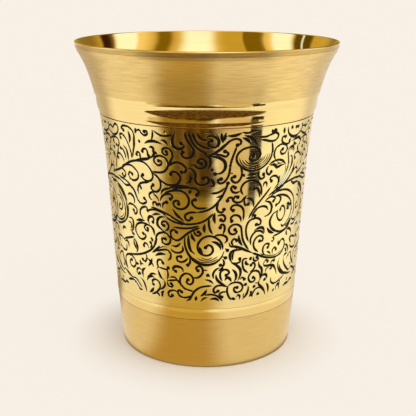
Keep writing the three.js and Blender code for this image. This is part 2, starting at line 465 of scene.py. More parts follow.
def base_section(wall):
    """Section of the base: a pressed disc, its slope between the two levels a half cosine."""
    sizes = wall.sizes
    edge = wall.points(wall.base_bottom, -sizes.outer_sheet)[0, 0] - sizes.base_clearance
    share = np.linspace(0, 1, 9)
    across = sizes.base_step + share * sizes.base_step_width
    rise = wall.base_bottom + sizes.base_rise * (0.5 + 0.5 * np.cos(share * math.pi))
    under = np.column_stack((across, rise))
    return np.vstack(
        (
            [(0, rise[0])],
            under,
            [(edge, rise[-1])],
            [(edge, rise[-1] + sizes.base_sheet)],
            under[::-1] + [0, sizes.base_sheet],
            [(0, rise[0] + sizes.base_sheet)],
        )
    )


def solder_section(wall):
    """Section of the solder: a hollow fillet between the foot's flange and the base."""
    sizes = wall.sizes
    top = wall.base_bottom - sizes.film
    side = wall.flange - sizes.film
    hollow = (side - sizes.solder_leg, top - sizes.solder_leg)
    return np.vstack((arc(hollow, sizes.solder_leg, math.pi / 2, 0, 10), [(side, top)]))


def strips(rings):
    """Faces of four between each ring of corners and the next, closed round the axis."""
    here, above = rings[:-1], rings[1:]
    beside, above_beside = np.roll(here, -1, axis=1), np.roll(above, -1, axis=1)
    return np.stack((here, beside, above_beside, above), axis=-1)


def strip_uv(heights, columns):
    """UVs of such faces: equal steps round the axis, and the given heights from ring to ring."""
    row, column = np.meshgrid(np.arange(len(heights) - 1), np.arange(columns), indexing="ij")
    left, right = column / columns, (column + 1) / columns
    low, high = heights[row], heights[row + 1]
    return np.stack((left, low, right, low, right, high, left, high), axis=-1).reshape(-1, 4, 2)


def revolve(section, around):
    """A section carried round the axis: x = r cos a, y = r sin a, z = h at equal angles a.

    A section that ends on the axis stays open there and each end becomes one corner. Any other
    section closes on itself. Returns corners, faces of four, their UVs and each face's stretch.
    """
    radius, height = section.T
    angle = np.linspace(0, 2 * math.pi, around, endpoint=False)
    corners = np.stack(
        (
            np.outer(radius, np.cos(angle)),
            np.outer(radius, np.sin(angle)),
            np.outer(height, np.ones(around)),
        ),
        axis=-1,
    )
    rings = np.arange(len(section) * around).reshape(len(section), around)
    if radius[0] == 0 and radius[-1] == 0:
        rings[0], rings[-1] = rings[0, 0], rings[-1, 0]
    else:
        rings = np.vstack((rings, rings[:1]))
        section = np.vstack((section, section[:1]))
    along = np.concatenate(([0], np.cumsum(np.linalg.norm(np.diff(section, axis=0), axis=1))))
    uv = strip_uv(along / along[-1], around)
    stretch = np.repeat(np.arange(len(rings) - 1), around)
    return corners.reshape(-1, 3), strips(rings).reshape(-1, 4), uv, stretch


def make_mesh(name, corners, faces, uv, smooth_angle=None, normals=None):
    """An object whose mesh has these corners in metres, and faces whose repeated corners are dropped."""
    used, packed = np.unique(faces, return_inverse=True)
    faces = packed.reshape(faces.shape)
    keep = faces != np.roll(faces, 1, axis=1)
    sides = keep.sum(axis=1)
    mesh = bpy.data.meshes.new(name)
    mesh.vertices.add(len(used))
    mesh.vertices.foreach_set("co", corners[used].astype(np.float32).ravel())
    mesh.loops.add(int(sides.sum()))
    mesh.loops.foreach_set("vertex_index", faces[keep].astype(np.int32))
    mesh.polygons.add(len(faces))
    starts = np.concatenate(([0], np.cumsum(sides)[:-1]))
    mesh.polygons.foreach_set("loop_start", starts.astype(np.int32))
    layer = mesh.uv_layers.new(name=BAKE_MAP)
    layer.uv.foreach_set("vector", uv[keep].astype(np.float32).ravel())
    mesh.update(calc_edges=True)
    if mesh.validate(verbose=False):
        raise RuntimeError(f"{name} has faces that can't be used")
    mesh.shade_smooth()
    if smooth_angle is not None:
        mesh.set_sharp_from_angle(angle=smooth_angle)
    if normals is not None:
        mesh.normals_split_custom_set(normals[keep].astype(np.float32))
    made = bpy.data.objects.new(name, mesh)
    bpy.context.scene.collection.objects.link(made)
    return made


# Edges that bend by more than this stay crisp.
SHARP = math.radians(32)
# A piece's box may lie this far off the box of the solid that it stands for.
FIT = 0.3 * MM


def turned_piece(name, node, section, materials, second=None):
    """A turned piece that stands for a CAD node. Stretches marked in second take the second material."""
    around = bpy.context.scene.tumbler_sizes.around
    corners, faces, uv, stretch = revolve(section, around)
    made = make_mesh(name, corners, faces, uv, SHARP)
    for material in materials:
        made.data.materials.append(material)
    if second is not None:
        made.data.polygons.foreach_set("material_index", second[stretch].astype(np.int32))
    seat(made, node)


def seat(made, node):
    """Ties a piece to the body, hides the CAD node that it stands for, and checks its place."""
    reach = np.array(made.bound_box)
    apart = np.abs(np.array((reach.min(axis=0), reach.max(axis=0))) - np.array(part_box(node))).max()
    if apart > FIT:
        raise RuntimeError(f"{made.name} lies {apart / MM:.2f} mm off {node}")
    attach(made, BODY)
    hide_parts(node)


# The scrollwork of one repeat, each stroke's points in millimetres of arc and of height. A stroke starts
# with its letters: b for a ball at its start, e for one at its end, t for a broad line, h for a hairline.
# One without t or h is a plain line, and a dash stands where it has no letter.
SCROLL = """
e -37.4 65.9 -36.7 66.2 -34.4 66.9 -32 67.9 -29.5 69.5 -26.4 71.1 -23 71.8 -20.5 71.3 -18.6 69.6 -17.7
  67.6 -18.3 66 -19.8 65.4 -21.4 65.8 -22.3 66.8 -21.6 67.3
t -24 72 -21.5 72.5 -19.2 73 -17.6 73.9
t -18 73.4 -16.8 74.8 -17.2 76.8
t -17 75.4 -15.6 75.1
e -17.9 68.9 -16.4 68.8 -14.8 68.9 -13.2 69.6 -12.2 71.3 -12.5 73.2 -13.9 74.3 -15.6 74.3 -16.9 73.2
  -16.7 71.9 -15.6 71.2 -14.5 71.6 -14.4 72.6 -15.3 72.7
e -12 71.4 -11.3 72.8 -10.6 74.4 -10.8 76.1 -12 77.1 -13.4 76.9 -13.9 75.8 -13.1 74.9 -12.2 75.1 -12.5
  75.9
e -11.9 71.2 -10.8 72.2 -9.3 72.7 -7.6 72.2 -6.4 71 -6.6 69.7 -7.8 69.5
e -17.6 68.6 -16.4 67.5 -15 66.3 -13.1 65.2 -10.9 65 -9.2 65.6 -8.3 67 -8.5 68.4 -9.6 69.4 -11 69.4
  -11.4 68.6
e -17.4 68.4 -15.7 67 -15 65.4 -15.2 63.6 -16.2 62.4 -17.6 62.3 -18.6 63.3 -17.8 64.4
- -16.6 62.3 -18.4 61.9 -19.5 60.9 -19.1 59.6 -18.4 59.4
- -17.9 61.6 -17 60.8 -16.2 59.9 -16 59.2
e -32 68 -30.3 69.2 -28.4 69.7 -26.4 69.6 -24.6 68.6 -23.6 67.2 -23.9 65.7 -25.5 64.8 -27.4 65.1 -28.2
  66.3 -27.5 67.3 -26.4 66.8
e -32.5 67.7 -30.8 67.5 -29.8 66.6 -30.1 65.5 -31 65.1 -31.6 65.8
e -36.7 64 -34.5 63.9 -32.5 63.2 -30.3 62.4 -28.2 62.6 -26.6 61.8 -25.4 60.2 -24.5 58.3 -23.4 57.4 -21.9
  57.5 -20.8 58.3 -21.6 59.3
- -34.4 65 -31.5 64.4 -29.2 63.7 -27.2 62.7
- -19.4 65 -21.2 64.8 -22.9 64.2 -23.9 63 -24.2 61.6 -23.8 60.4
t -23 63.7 -22.9 62.9 -22.4 62.3
- -15 61.6 -14.5 62.8 -13.3 63.6 -11.6 63.9
e -15.4 59.4 -14.6 61 -13.2 61.9 -11.7 61.9 -11 61.1 -11.8 60.3
e -14 61.8 -12 62.9 -9.8 63.4 -7.8 63.2 -6.4 62.3 -5.6 60.7 -5.8 58.9 -7 57.6 -8.7 57.2 -10.2 57.8 -10.8
  58.9 -10.1 59.9 -9 59.8 -9 58.9
e -11 63.6 -9 64.2 -7 64.5 -5 64.5 -3.3 64.2 -2.4 63.2 -3 62.2
t -5.5 62.6 -4.9 63.7
b -3.6 60.6 -4.5 60.2 -4.3 58.9 -3.2 57.9 -1.5 57.7 0.3 58
e -3 56.3 -5.4 56.2 -6.8 55.3 -6.8 54 -5.8 53.5 -4.8 54.4
t -11 57 -10.2 55.7 -8.9 54.4 -7.4 53.2
- -19 56.8 -16.5 56.3 -14.3 55.6 -12 54.6 -9.5 53.2 -7 52.4
e -18.1 57.2 -18.2 58.2 -17.4 58.7 -16.7 58
b -13.1 59.1 -14.2 58.7 -14.6 57.8 -14.4 57
- -16.1 57.4 -15.7 58.5 -15.2 57.2
e -22.6 52.2 -23.6 53.2 -23.7 54.9 -22.6 56.1 -21 56.4 -20.5 55.3
- -20.4 55.2 -19 55.9 -17.2 56 -15.2 55.5 -13.4 54.5
t -26.3 81.2 -25.8 79.4 -26.2 77.4
t -22.9 82.6 -23.1 80.9
e -22.8 81.8 -21.5 82.1 -20.9 81.2 -19.8 80.6 -18.7 81.1 -18.8 82.1 -19.7 81.8
t -22.1 78.9 -21.8 77.9
b -21.1 75.2 -20.7 76 -19.7 76.1 -19.1 75.2 -19.1 73.9 -18.4 73.5
b -23.6 73.8 -23.2 74.7 -22.4 74.5 -22.1 73.4 -22.4 72.3
t -19.8 78 -18.8 78.6 -17.2 79 -15.3 78.8 -13.9 78.3
t -14 79.6 -12.9 79.3 -11.9 78.2
- -16.7 82.6 -16.8 81 -17.3 79.3
- -16.3 82.5 -15.3 81.7 -13.7 81 -12 81.1 -10.2 81.6
t -12.9 82.4 -12.5 82.2
te -9.4 82.6 -10.2 80.6 -10.4 79 -9.9 77.7 -8.7 77.1 -7.4 77.3 -6.8 78.2 -7.7 78.9
e -6.3 82.6 -6 80.4 -4.9 78.6 -3.9 77 -4.1 75.4 -5.4 74.3 -6.9 74.4 -7.7 75.4 -7.2 76.1
- -5.3 82.6 -4.6 80.2 -3.6 78.4 -1.9 76.8 0.4 75.7
- -4.1 82.4 -3.3 80 -2 78.5 -0.2 77.6 1.5 77.5
- -2.6 82.5 -2.1 81 -0.9 80.2 0.4 80.3
e -4.8 72 -3.7 71.9 -2.6 71 -1.2 71 -0.2 71.9 -0.2 73.1 -1.1 74 -2.3 73.8 -2.6 72.8 -1.6 72.5
e -5.6 70.9 -4.3 70.4 -3.4 69 -3.5 67.2 -2.8 65.9 -1.2 65.5 0.3 66.1 0.8 67.3 0 68.2 -1 67.7
b -4.9 67.6 -5.2 66.6 -6.3 65.9
e 0.2 81.2 1.7 81.5 3.2 80.6 3.6 79.1 2.7 77.9 1 78.2 0.6 79.3 1.5 79.9
t 4.4 82.4 4.6 80.8 5 79.3
t 5.8 82.5 5.5 81 5.1 79.7
e 0.6 75.2 2.5 75.9 4.2 77 5.7 78.6 7.2 79.9 8.9 80.4 10.2 80 10.5 78.9 9.4 78.4
t 6.3 81.5 8.6 81.5 10.6 82.3
- 10.8 82.5 12.4 82.1 14 82.5 15.7 82.7
t 10.9 80.7 12.5 79.9 13.6 78.6
t 11.5 81.4 13.4 80.7 15 79.4 16 78
e 9.3 78.2 8.6 76 7.9 73.9 7.4 71.7 7.2 69.5 6.6 67.7 5.4 66.3 4.1 66.1 3.6 67 4.6 67.5
t 7.5 72.2 7.4 71.4
- 7.4 69.4 8.3 69.1
e 21.2 78.4 21.8 76 21.4 73.4 20 71.4 18 70.1 15.5 69.5 12.9 70 10.7 71.4 9.4 73.3 9.6 75.3 11.1 76.8
  13.3 77.4 15.5 77.2 17.1 75.8 17.2 74.2 16.1 73 14.7 72.9 13.6 73.7 14.1 74.7 15 74.3
- 16.2 80.6 18.8 80.4 21 81 22.6 81.3 23.6 80.5 23.3 79.4 22 78.7 20.4 78.8 18.7 79.3 17 79.6
t 25.8 82.6 26 80.6
e 30 77.8 28.6 76.9 26.6 77.2 25.4 78.3 25.6 79.5 26.9 79.5
t 29.4 78.6 28.7 77.2
e 23.4 72.3 22.6 74.2 23.1 75.9 24.5 76.9 26.4 77.1 28 76.3 28.3 74.8 27.2 73.8 25.8 73.9 25.3 74.9 26.2
  75.4
b 29.6 82.2 30.1 81.8
t 21.4 70.7 23 70.6 24.4 69.6 26 69.9 27.6 70.1
h 22.6 71.3 24 70.6 25.4 70.9
h 24 71.6 25.6 70.7 27 71
e 20.8 70.5 20.1 69.2 20.4 68.1 21.4 67.6 22 68.4
e 17.3 69.4 17.2 67.6 18.2 66.5 19.3 67 19 68
e 10.7 71.2 11.3 69.3 11 67.5 9.7 66.1 8.4 66.5 7.9 67.6 8.9 68.1
t 11.5 68.8 12.2 67.9
t 13.2 68.3 16.4 68.3
t 12.7 67.3 16.5 67.3
- 11.9 61.9 11.2 63.5 11.7 65.2 13.1 66.2 15 66.4 16.9 65.7 18.2 64.3 18.6 62.6 18.7 61
te 18 60.4 17.8 62.2 16.9 63.5 15.9 63.4
- 19.2 63.9 19.5 65 20.3 65.1 20.6 63.6
b 9.2 64.4 8.5 65 7.9 64.2 8.4 63.1 9.7 62.7 10.9 63.2
b 6.8 60.2 7.2 61.1 8.3 61.1 8.8 60 10 59.4 11.4 59.6 12.3 60.6 13.2 61.6
e 8.9 60.3 9.3 61.5 10.2 61.2
e 13 61.2 12.5 59.6 12.9 58.3 13.9 58.5
- 13.2 60.5 14.7 60.3 15.7 59.1 15.9 57.4
- 22.3 63.2 20.6 61.4 18.9 59.7 17 57.7 15.6 55.9 14.3 53.6
e 24.2 62.6 25.5 64 25.4 65.6 24.2 66.7 22.8 66.8 21.8 66.1 22.4 65.2
- 26 66.6 26 65.7
- 22.6 60.2 25 61.1 27.8 61.4 30.6 60.9 33.2 59.5 35.2 57.4 35.9 54.8 35.9 52.2 34.6 49.6 32 47.5 28.8
  46.7 25.8 47.4
- 24.3 59.6 27 59.8 29.8 59.1 32.1 57.8 33.7 55.9 34.2 53.6 33.7 51.4 32.3 49.7
t 26.4 54.5 24.1 53.5 22.9 51.5 23.5 49.3 25.6 47.6 28.3 46.9
t 21.8 49.3 23 47.8 25 46.9
- 25 45.9 27.8 46 30.6 46.6 33 47.8 35 50
e 26.3 54.8 26 53.2 26.8 51.4 28.2 50.7 29.6 51.6 30.2 53.4 29.6 55.2 28.2 55.7 27.6 54.6
- 28.4 49.4 29.4 48.4 31 48.8 32.4 50.2
e 20.2 58.7 21.8 59.6 23.6 59.8 24.6 59 23.9 58.2
t 20.5 58.6 22.3 58 23.3 56.4 22.9 54.5 21.6 53.6 20.4 53.5
- 15.4 53.6 16.2 55.4 17.4 56.6 19.2 57.1 20.9 56.7 21.7 55.5
te 26 59.6 27.2 59 27.3 57.9 26.5 57 25.4 56.6
e -3 56.3 0 57 2.2 58.2 3.9 60 5.2 62 6.2 64.2 6.8 66
e 4 59.6 3.4 57.8 4 56.6 5.2 56.4 5.7 57.3
b 8.8 56.8 8 57.4 8.6 58.4 10.3 58.5 11.7 57.7 12.4 56.2 12.3 53.2
b 8.4 53.2 8.1 54.3 9 55.1 10.4 55 11.3 54.2 11.6 52.8
t 2.8 56.2 2.5 54.6 2.9 52.7
te 0.4 75 2 74.9 4 74.4 5.4 73.4 5.9 72 5.6 70.5 4.4 69.4 2.7 69.2
t 1.7 71 1.9 70.2
e 2.4 75.6 4.4 75.3 6 74.8 6.7 75.7 5.6 76.5
- 1.3 62.8 3.2 62.9 4.8 63.6 5.9 64.6
- 3.2 61.5 4.6 61.8 5.3 62.6
e -29.8 55.6 -28.6 56.3 -26.6 56 -25.3 54.9 -25.5 53.6 -26.5 53.2 -26.9 54.3
t -25.8 51 -24 51.5 -22 51.6
e -19.5 49.8 -21.3 50.5 -23.9 50.5 -25.8 49.5 -26.6 47.8 -26 46 -24.3 44.8 -22.6 45.2 -21.9 46.4 -23.1
  46.9
e -20.2 50.3 -21.6 50.2 -22.3 49.3 -21.8 48.3 -20.8 48.2 -20.9 49
te -20 50.6 -20.5 52.2 -19.9 53.3 -18.8 53.4 -18.2 52.5 -18.6 51.6
t -20 50.4 -18.6 49 -18.2 47.2
- -17.4 47.2 -17.7 45 -18.6 43
t -19.6 46.2 -19 44.8
b -23.1 42.6 -22.6 43.6 -21.6 43.4 -21 42.2
b -20 44.2 -19.6 43.4 -20.3 42.4
t -16.3 43.7 -17.6 42.2 -19.4 40.9
- -17.6 41.6 -15.6 42.4 -13.6 42.6 -12.4 41.6 -12.4 40 -13.4 39
t -18.2 40 -16.4 40.9 -14.2 41
h -16.8 42.6 -15 43.6 -13.6 43.4
e -18.4 43.6 -17.8 45.4 -17.5 46.9 -16.4 48.1 -14.7 48.6 -13.1 48 -12.2 46.5 -12.7 45 -14.1 44.5 -15.3
  45.2 -15.2 46.5 -14.1 46.4
t -13.8 48.7 -15.5 49.6 -16.8 51 -16.7 52.7 -15.6 53.8 -14 54
e -14 49.2 -12.9 50.1 -12.8 51.4 -13.7 52.4 -14.9 52.3 -15.2 51.3 -14.4 51
- -18.6 54.1 -17 54.7 -15.6 54.7
- -13.8 54.1 -12 53.1 -9 52.3 -5.6 52.2 -2.2 52.8 0.2 54 2.2 56
- -11 50.9 -7.8 50.7 -4.8 51 -2.4 51.8
b -10 49.2 -11 50 -12 49.2 -11.9 47.6 -10.8 46.5 -9.4 46.5 -8 47.5 -6.4 48.9 -4.4 50.2 -2 51.2
- -11.8 44.4 -10.2 44.3 -8.6 45.6
- -12.2 43.2 -11 42.2 -9 42.2 -7.9 43.1 -8 44.6
b -8.7 40.8 -10 40.6 -9.9 39.3 -8.5 38.9 -7 39.6 -6.2 40.6
e -5.6 40.6 -5.5 39 -6.3 38
e 5.6 43.6 5 46 3.2 47.7 0.8 48.3 -1.5 47.3 -2.8 45.2 -2.5 43 -0.9 41.7 1 41.7 2.2 43 2 44.5 0.8 45.2
  -0.2 44.4
t -7 48.4 -7.2 45.4 -6.5 42.8 -5 40.5 -2.7 38.8 0.2 38.2 3 38.9 5 40.6 6 42.8
t -5.9 48.6 -5.8 45.4 -5.1 43.1 -3.9 42.1
t -4.9 49.2 -4.5 47.6 -3.6 46.5
e -4 50.2 -3.6 48.8 -2.6 48.4 -1.8 49.1 -2.6 49.7
t -0.5 52.4 -0.7 50.8 -0.5 49.6
t -27.9 35.3 -26.2 35.3
t -25.3 37 -25.2 34.9
- -25.4 35.9 -23.9 35.8
e -22.4 39.9 -22.1 38.3 -22.9 37 -24 37.5
t -21.9 38.4 -20.4 37.3 -19.2 35.8
t -19.7 38.7 -20.3 37.2 -21.5 35.7
b -15.4 37.7 -16 38.7 -17.2 38.6 -17.7 37.4 -17.4 36.1 -17.9 35.4
e -17.3 36 -15.4 35.7 -14 35.6 -13.4 36.3
- -14 35.7 -13.6 34.2 -13.9 32.1
t -17.5 35 -17 33.6 -16.3 32.3 -15.4 31.7
t -22.4 30.3 -21.8 31.6 -20.4 32.2 -19.2 31.8
- -21.6 31.9 -20.2 33.1 -18.3 33.2
b -19.8 29.3 -20.2 30.4 -19.3 31.2 -18 31.1 -17.1 30.2 -17 28.7 -17.8 27.4 -19 26.4 -20.5 25.7
- -15.2 31.6 -14.9 30 -15.6 28.9 -17 28
t -19.6 28.2 -20.4 27 -21.6 26.1
t -18.4 26.6 -17.2 25.6
t -15.4 27.7 -16.2 26.8 -16.1 25.4
- -14 31.6 -12 32 -10.2 32.2 -8.9 30.9 -7.5 29.5 -5.6 28.9 -4.2 28.7
- -12.9 33 -11.3 33.2 -10 32.4
e -13.9 31.4 -13.7 30.1 -12.7 29.5 -11.9 30.2 -12.5 30.7
e -8.6 30.6 -9.2 32 -8.8 33.6 -7.3 34.9 -5.5 34.6 -4.5 33.3 -4.7 31.8 -5.8 31.1 -6.8 31.8 -6.3 32.8
tb -10.7 35.4 -11.6 35.9 -11.2 36.9 -9.8 37.2 -8.4 36.7 -7.9 35.5
e -4.6 33.7 -3.2 33.6 -1.9 34.4 -1.1 35.8 -1.4 37.2 -2.5 37.8 -3.4 37.1 -2.8 36.2
- -1.2 36.5 0.4 36.3
b -8.7 28.2 -9.6 28.8 -10.1 28 -9.5 26.8 -8.2 26.2 -6.6 26.4 -5.2 27.2
e -10 27.9 -11.8 28.4 -13.3 27.9 -13.8 26.8 -13 25.9 -12.2 26.5
- 2 30.8 -0.2 30.6 -2.2 30.1 -3.9 28.9 -5 27.2 -5.8 25.8 -7 25.1
t -3.4 27 -3.7 25.4
t 0.2 29.4 -0.6 28 -1.9 27.1
- 0.4 26.6 -0.8 26.2 -1.8 25.2
- -33 28.2 -30.5 28.7 -28.6 28.2 -27.4 27 -26.5 26.2 -25 26.2
- -30 29.6 -28 29.4 -26.7 28.3 -25.2 26.9
t -25.7 30.4 -24.5 29.5 -23.6 27.9 -23.1 26
t -23 34.6 -24.4 33.4 -24.5 32 -24.3 31
e -24.8 33.2 -26.4 33.8 -27.5 32.8 -27 31.6 -26 32
b 4.6 51.2 5 52.2 5.8 52 6.1 50.6 5.5 48.8
- 0.9 54.4 0.9 52 1.4 50.2 2.1 49
e 3.6 55.2 5.6 55.4 6.2 54.3 5.7 53.3 4.8 53.8
- 2.4 48.1 3.8 48.6 5.6 48.5 6.8 47.7 6.9 46.5 6.1 45.8
t 1.8 46.4 3.3 46 4.5 44.9 4.9 43.6
e 6.4 43.9 7.2 43.2
b 6.6 40.6 5.6 41.1
e 14.8 42.8 13.4 44.6 12.4 46.8 12 49.2 11.6 51 10.3 51.9 8.5 51.7 7.5 50.4 7.9 49.1 9.1 48.6 10.2 49.3
  9.6 50.2
e 14.6 45.6 13.7 48 13.6 50.8 14.5 52.6 16.2 53.3 17.9 53.2 19 52.2 18.8 51 17.3 51.1
b 16.6 54.2 16.4 53.5
- 15.6 44.2 15.4 46.4 16.4 48.1 18 48.8 19.6 48.4 20.5 47.4
t 16.6 49 18.6 49.8 20.1 49.5 20.7 47.8
e 18.6 41.4 17 42.9 16.6 44.7 17.4 46.3 19.1 47 20.3 46.2 20.1 45 19 45.1
t 7.7 45.8 8.2 44.6 9.8 44.3 12 43.5 14.4 42.3 16.2 41.4
e 9.2 44.6 8.6 46 9.4 47 10.4 46.4
t 11 48.2 11.2 46.4 12.4 44.4
t 12 42.9 9.8 43 8.4 42.2 8.1 40.6 8.8 38.8
- 9.6 42.5 9 41.2 9.1 39.6
e 8.9 38.8 10.4 38.3 11.8 38.8 11.7 39.8
t 8.8 38.6 10.6 37.6 12 36 12.1 34 11.2 32.2
t 9.1 36.3 10.3 35 10.6 33.4 10 32
- 14.6 39.6 13 39.4 12.8 37.6 13.4 35.8 15 34.5
t 14 39 14.1 37.9 15.2 37.4
b 15.8 39.4 16 38.9
b 16.1 37 16.9 37.8 17.7 36.8 17.2 35.4 15.8 34.7
e 16.9 40 17 38.8 18 38.2 18.9 38.8 18.3 39.5
e 16.2 41.4 18.6 40.3 21.5 39 24.6 38.2 27.6 38 30.1 39 31.5 40.8 31.3 42.8 30 43.7 28.6 42.8
h 19.6 40.5 22 39.6 24.8 38.9 27.6 38.8 30 39.8
e 21.4 39.9 20.6 41.2 20.8 42.8 22 43.6 23.3 43.2 22.8 42.2
e 25.2 39.5 25.1 40.7 26.1 41.5 26.9 40.7
- 22.4 40.8 23.4 40.4 24.2 39.6
e 7.8 30.6 9 31.3 11 31.5 12.6 30.8 13.2 29.4 12.5 28.2 11.1 27.8 10 28.6 10.1 29.7 11.1 29.6
- 7.8 30.6 7.4 29 7.8 27.2 9 25.3
t 9 26 10.6 25.4
e 7.6 30.2 5.6 30.8 3.6 30.6 2.6 29.4 3.1 28.3 4.2 28.8
e 7.3 28.4 5.6 28.3 4.7 27.5 5.6 26.6
- -0.4 27.4 2.2 27.6 4.2 26.9 5.8 25.2
t 1.5 26 3.6 26 4.6 25.2
- 2.6 33.4 2.4 35 3.2 36.4 4.6 37.2
e 5.6 32.4 4.9 34 5 35.6 6 36.4 7.4 36.2 8 35.2 7 34.4
t 6.6 32.6 7.2 33.5 8.2 33.2 8.8 32
t 3.4 34.8 3.7 33.2 5 31.8 6.6 30.9
- -0.4 33 1.3 32.6 2.5 31.6
b 0.6 34.6 1.4 34
e 5.6 40.2 6.1 39.2 5.9 37.9 4.9 38.1
t 4.3 36.2 5.2 36.6 5.8 37.6
e 12 32.4 13 33 13.7 32.3
e 13.2 30.2 14.3 30.3
t 15.3 29.6 15.4 28 14.7 26.5 13.4 25.2
- 11 26.2 11.6 26.9 12.2 26.4 12.1 25.2
- 13.7 27.2 13.5 25.9
e 20.2 31 20.1 32.8 19.4 34.1 17.8 34.7 16.1 34.1 15.3 32.5 16 31.1 17.3 30.8 18 31.8 17.2 32.4
t 19.1 37.8 19.5 36.2 20.6 35 20.8 33.4 20.2 31.6
te 20.3 31.4 21.4 32.5 22.8 32.4 23.2 31.3 22.3 30.7
t 20 31.2 19.7 29.6 21.2 28 22.4 26.6 22.9 25.2
- 18.2 30.2 19.5 30
b 19.6 26 19.2 26.1
- 17.4 26.2 18 27.6 19.4 28.2 20.8 27.9
b 17.8 29 17.4 28.8
t 16.2 27.4 17.2 26.8
t 16 25.6 16.7 26.3 17.2 25.4
t 23.2 29.2 24.2 27.6 24.3 25.6
t 21.4 37.2 21.6 36 22.8 35.6 24.6 35.4 26.2 34.9 27.4 33.4 28.1 31.4
e 24.8 35.6 25.2 36.8 26.4 36.8
e 21.6 37 22.4 37.8 23.2 37.1
- 22.4 33.4 22.7 34.4 23.8 34.8
t 24.3 34 25.6 34.4
- 25.3 30.8 25.5 29.2 27 28.2 29.2 28.4 31 29.4
- -34 42.6 -32 43.4 -29.8 44.1 -27.6 44.8
t -28 44.4 -26.8 43 -26.2 41.2 -26.8 39.4
b -35.6 81.7 -34.6 81.3 -33.4 82.3 -32.3 82.7 -31.4 81.9 -31.5 80.6 -32.6 79.4 -34.6 78.8 -35.9 79.1
  -37.2 79.6 -38.2 80.3
e -37.6 77 -36.7 77.5 -35.9 77.8 -35 78 -33.4 78.1 -32 77.4 -31.8 76.2 -32.5 75.3 -33.6 75.5
t -34.8 77.6 -35.3 76.6 -34.6 75.8
- -32.4 75.2 -33.2 73.2 -34.4 71 -35 69 -35.3 67.4
t -35.9 74.4 -35.4 74.7 -34.7 73.9
- -35.9 73.6 -35.5 72.2 -35.9 70.4
b -33.3 71.2 -33.9 72 -33.2 72.7 -32 72.8 -30.8 71.9 -30 70
tb -31.2 74.8 -30.2 74.6 -29.3 73.2 -28.9 71.2
t -29.6 75.9 -28.4 75 -27.8 73.6 -27.6 71.2
e -25.9 72.2 -26 74 -26.6 75.8 -27.4 77.6 -28.5 79.2 -29.7 79.8 -30.8 79.3 -30.5 78.4
e -25.4 72.6 -25 74.6 -24.4 76.2 -24.1 78 -23.9 79.4 -24 80.5 -24.9 82 -26.7 82.7 -28.6 82.6 -29.4 81.8
  -28.5 81.2
t -24.1 80.6 -24.1 78.6 -24.4 76.4 -25 74.8
t -35.9 62.3 -34.7 61.8 -32.7 60.6 -31 58.4 -30 56.4
h -35.9 61.4 -35 60.9 -33.2 59.4 -31.7 57.3
h -35.9 60.4 -34.4 59.4 -32.7 57.6
- -35.9 61.8 -34.8 61.4 -33 60 -31.4 57.9 -30.5 55.2 -30.6 52.4 -31.2 50.6 -32.6 49.3 -34.4 48.4 -35.9
  47.9 -37.4 47.7 -38.8 47.9
- -35.4 59.9 -33.6 58.2 -32.2 56.2 -31.6 54 -31.8 52 -33 50.2 -34.6 49.4 -35.9 49.1 -37.4 49.3 -38.4
  50.1
- -29.9 55.8 -29.8 54 -30.2 52 -30.8 50.6
h -32.6 52.4 -33.6 51 -35.2 50.1 -35.9 49.9
e -36.2 57.8 -34.9 57.6 -33.6 56.5 -33.2 54.8 -33.9 53.3 -35.3 52.9 -36 53.9 -35.1 54.8
t -27.6 62.8 -26.2 61.6 -25.2 59.6 -24.5 57.9
t -29.4 59.2 -28.4 59.8 -27 59.4 -26.2 58 -26.4 56.8
t -29.7 51.2 -28.3 51.2 -27.6 50.4 -27.7 48.4 -28.3 47 -29.4 46.8
- -30.2 49.7 -29 49.4 -28.6 48.4 -29.2 47.4
t -34.5 45.7 -34.2 46.6 -32.9 47 -32 46.3
t -29 46.3 -27.2 45.5
t -27.9 43.9 -27.9 42.4 -27 40.2
h -27.6 44 -27 42.6 -26.8 40.6
t -33.4 41.9 -32.2 42.4 -31.3 41.6 -31.3 40.1
- -32.8 41.4 -32.6 40.2 -33.1 38.7 -34.6 38.6 -35.8 38.8 -37 39.4 -38 40.3
- -38.6 42.8 -37.2 43.1 -35.9 43 -34.8 42.5 -33.6 42.2
t -35.9 38 -35.9 35.8 -34.8 33.7 -32.8 31.9
e -33 32.3 -33.8 33.6 -34.1 35.2 -33.6 36.6 -32 37.5 -30.2 37.6 -28.6 36.9 -27.8 35.6 -28.2 34.2 -29.6
  33.5 -31 34.2 -31.1 35.4 -30 36
t -33 28 -31.6 28.5 -29.8 28.8
t -35.2 31.5 -33.4 30.8 -31.4 29.8 -29.6 29.3
- -35.9 31.1 -35.4 31.5 -34.4 31.3
t -35.9 33.3 -35.6 32.2
t -35.9 26.2 -34.8 26.7 -33.2 26.4
- -18 45.5 -18.5 43.4 -19.9 41.8 -22.3 40.3 -25 39.2 -28.4 38.3 -31 37.8 -32.4 37.2
- 27.5 82.6 28 80.8 29.3 79.4 31.3 78.8 33.4 79.3 35 80.3 36 81.5 37.6 81.7
t 28.2 80.6 30.2 79.1 32.6 79 34.6 80
be 31.9 82 33.2 82
t 35.4 82.5 35.9 82
t 30.3 77.3 31.6 77.9 33.4 78.2 35 77.9 35.8 77 35.4 75.8 34.2 75.2
t 31.6 77.4 32 76.4 33.3 76.2
t 28.9 74.6 30 75.4 31.4 75.6 32.3 74.4 32.2 73.6
h 29.4 74.4 30.8 74.8 31.8 74.1
h 23.4 62.2 25.6 63.9 27.6 66 28.6 68.2 28.4 70
h 24 61.9 26.2 63.5 28.4 65.7 29.6 68.1 29.9 70.4 29.4 72.8 28.9 74.6
- 28.8 66.8 29.7 68.8 29.9 70.6 29.4 72.8 28.9 74.6
h 24.4 61.7 26.8 63.2 29.2 65.2 30.9 67.4 31.9 69.8
t 30.4 66.8 31.7 69 31.9 71 31.4 72.3 30.6 72.5
h 24.8 61.6 27.4 63 30.2 64.9 32.5 67 33.6 69
t 32 66.5 33.3 68.2 33.6 69.8
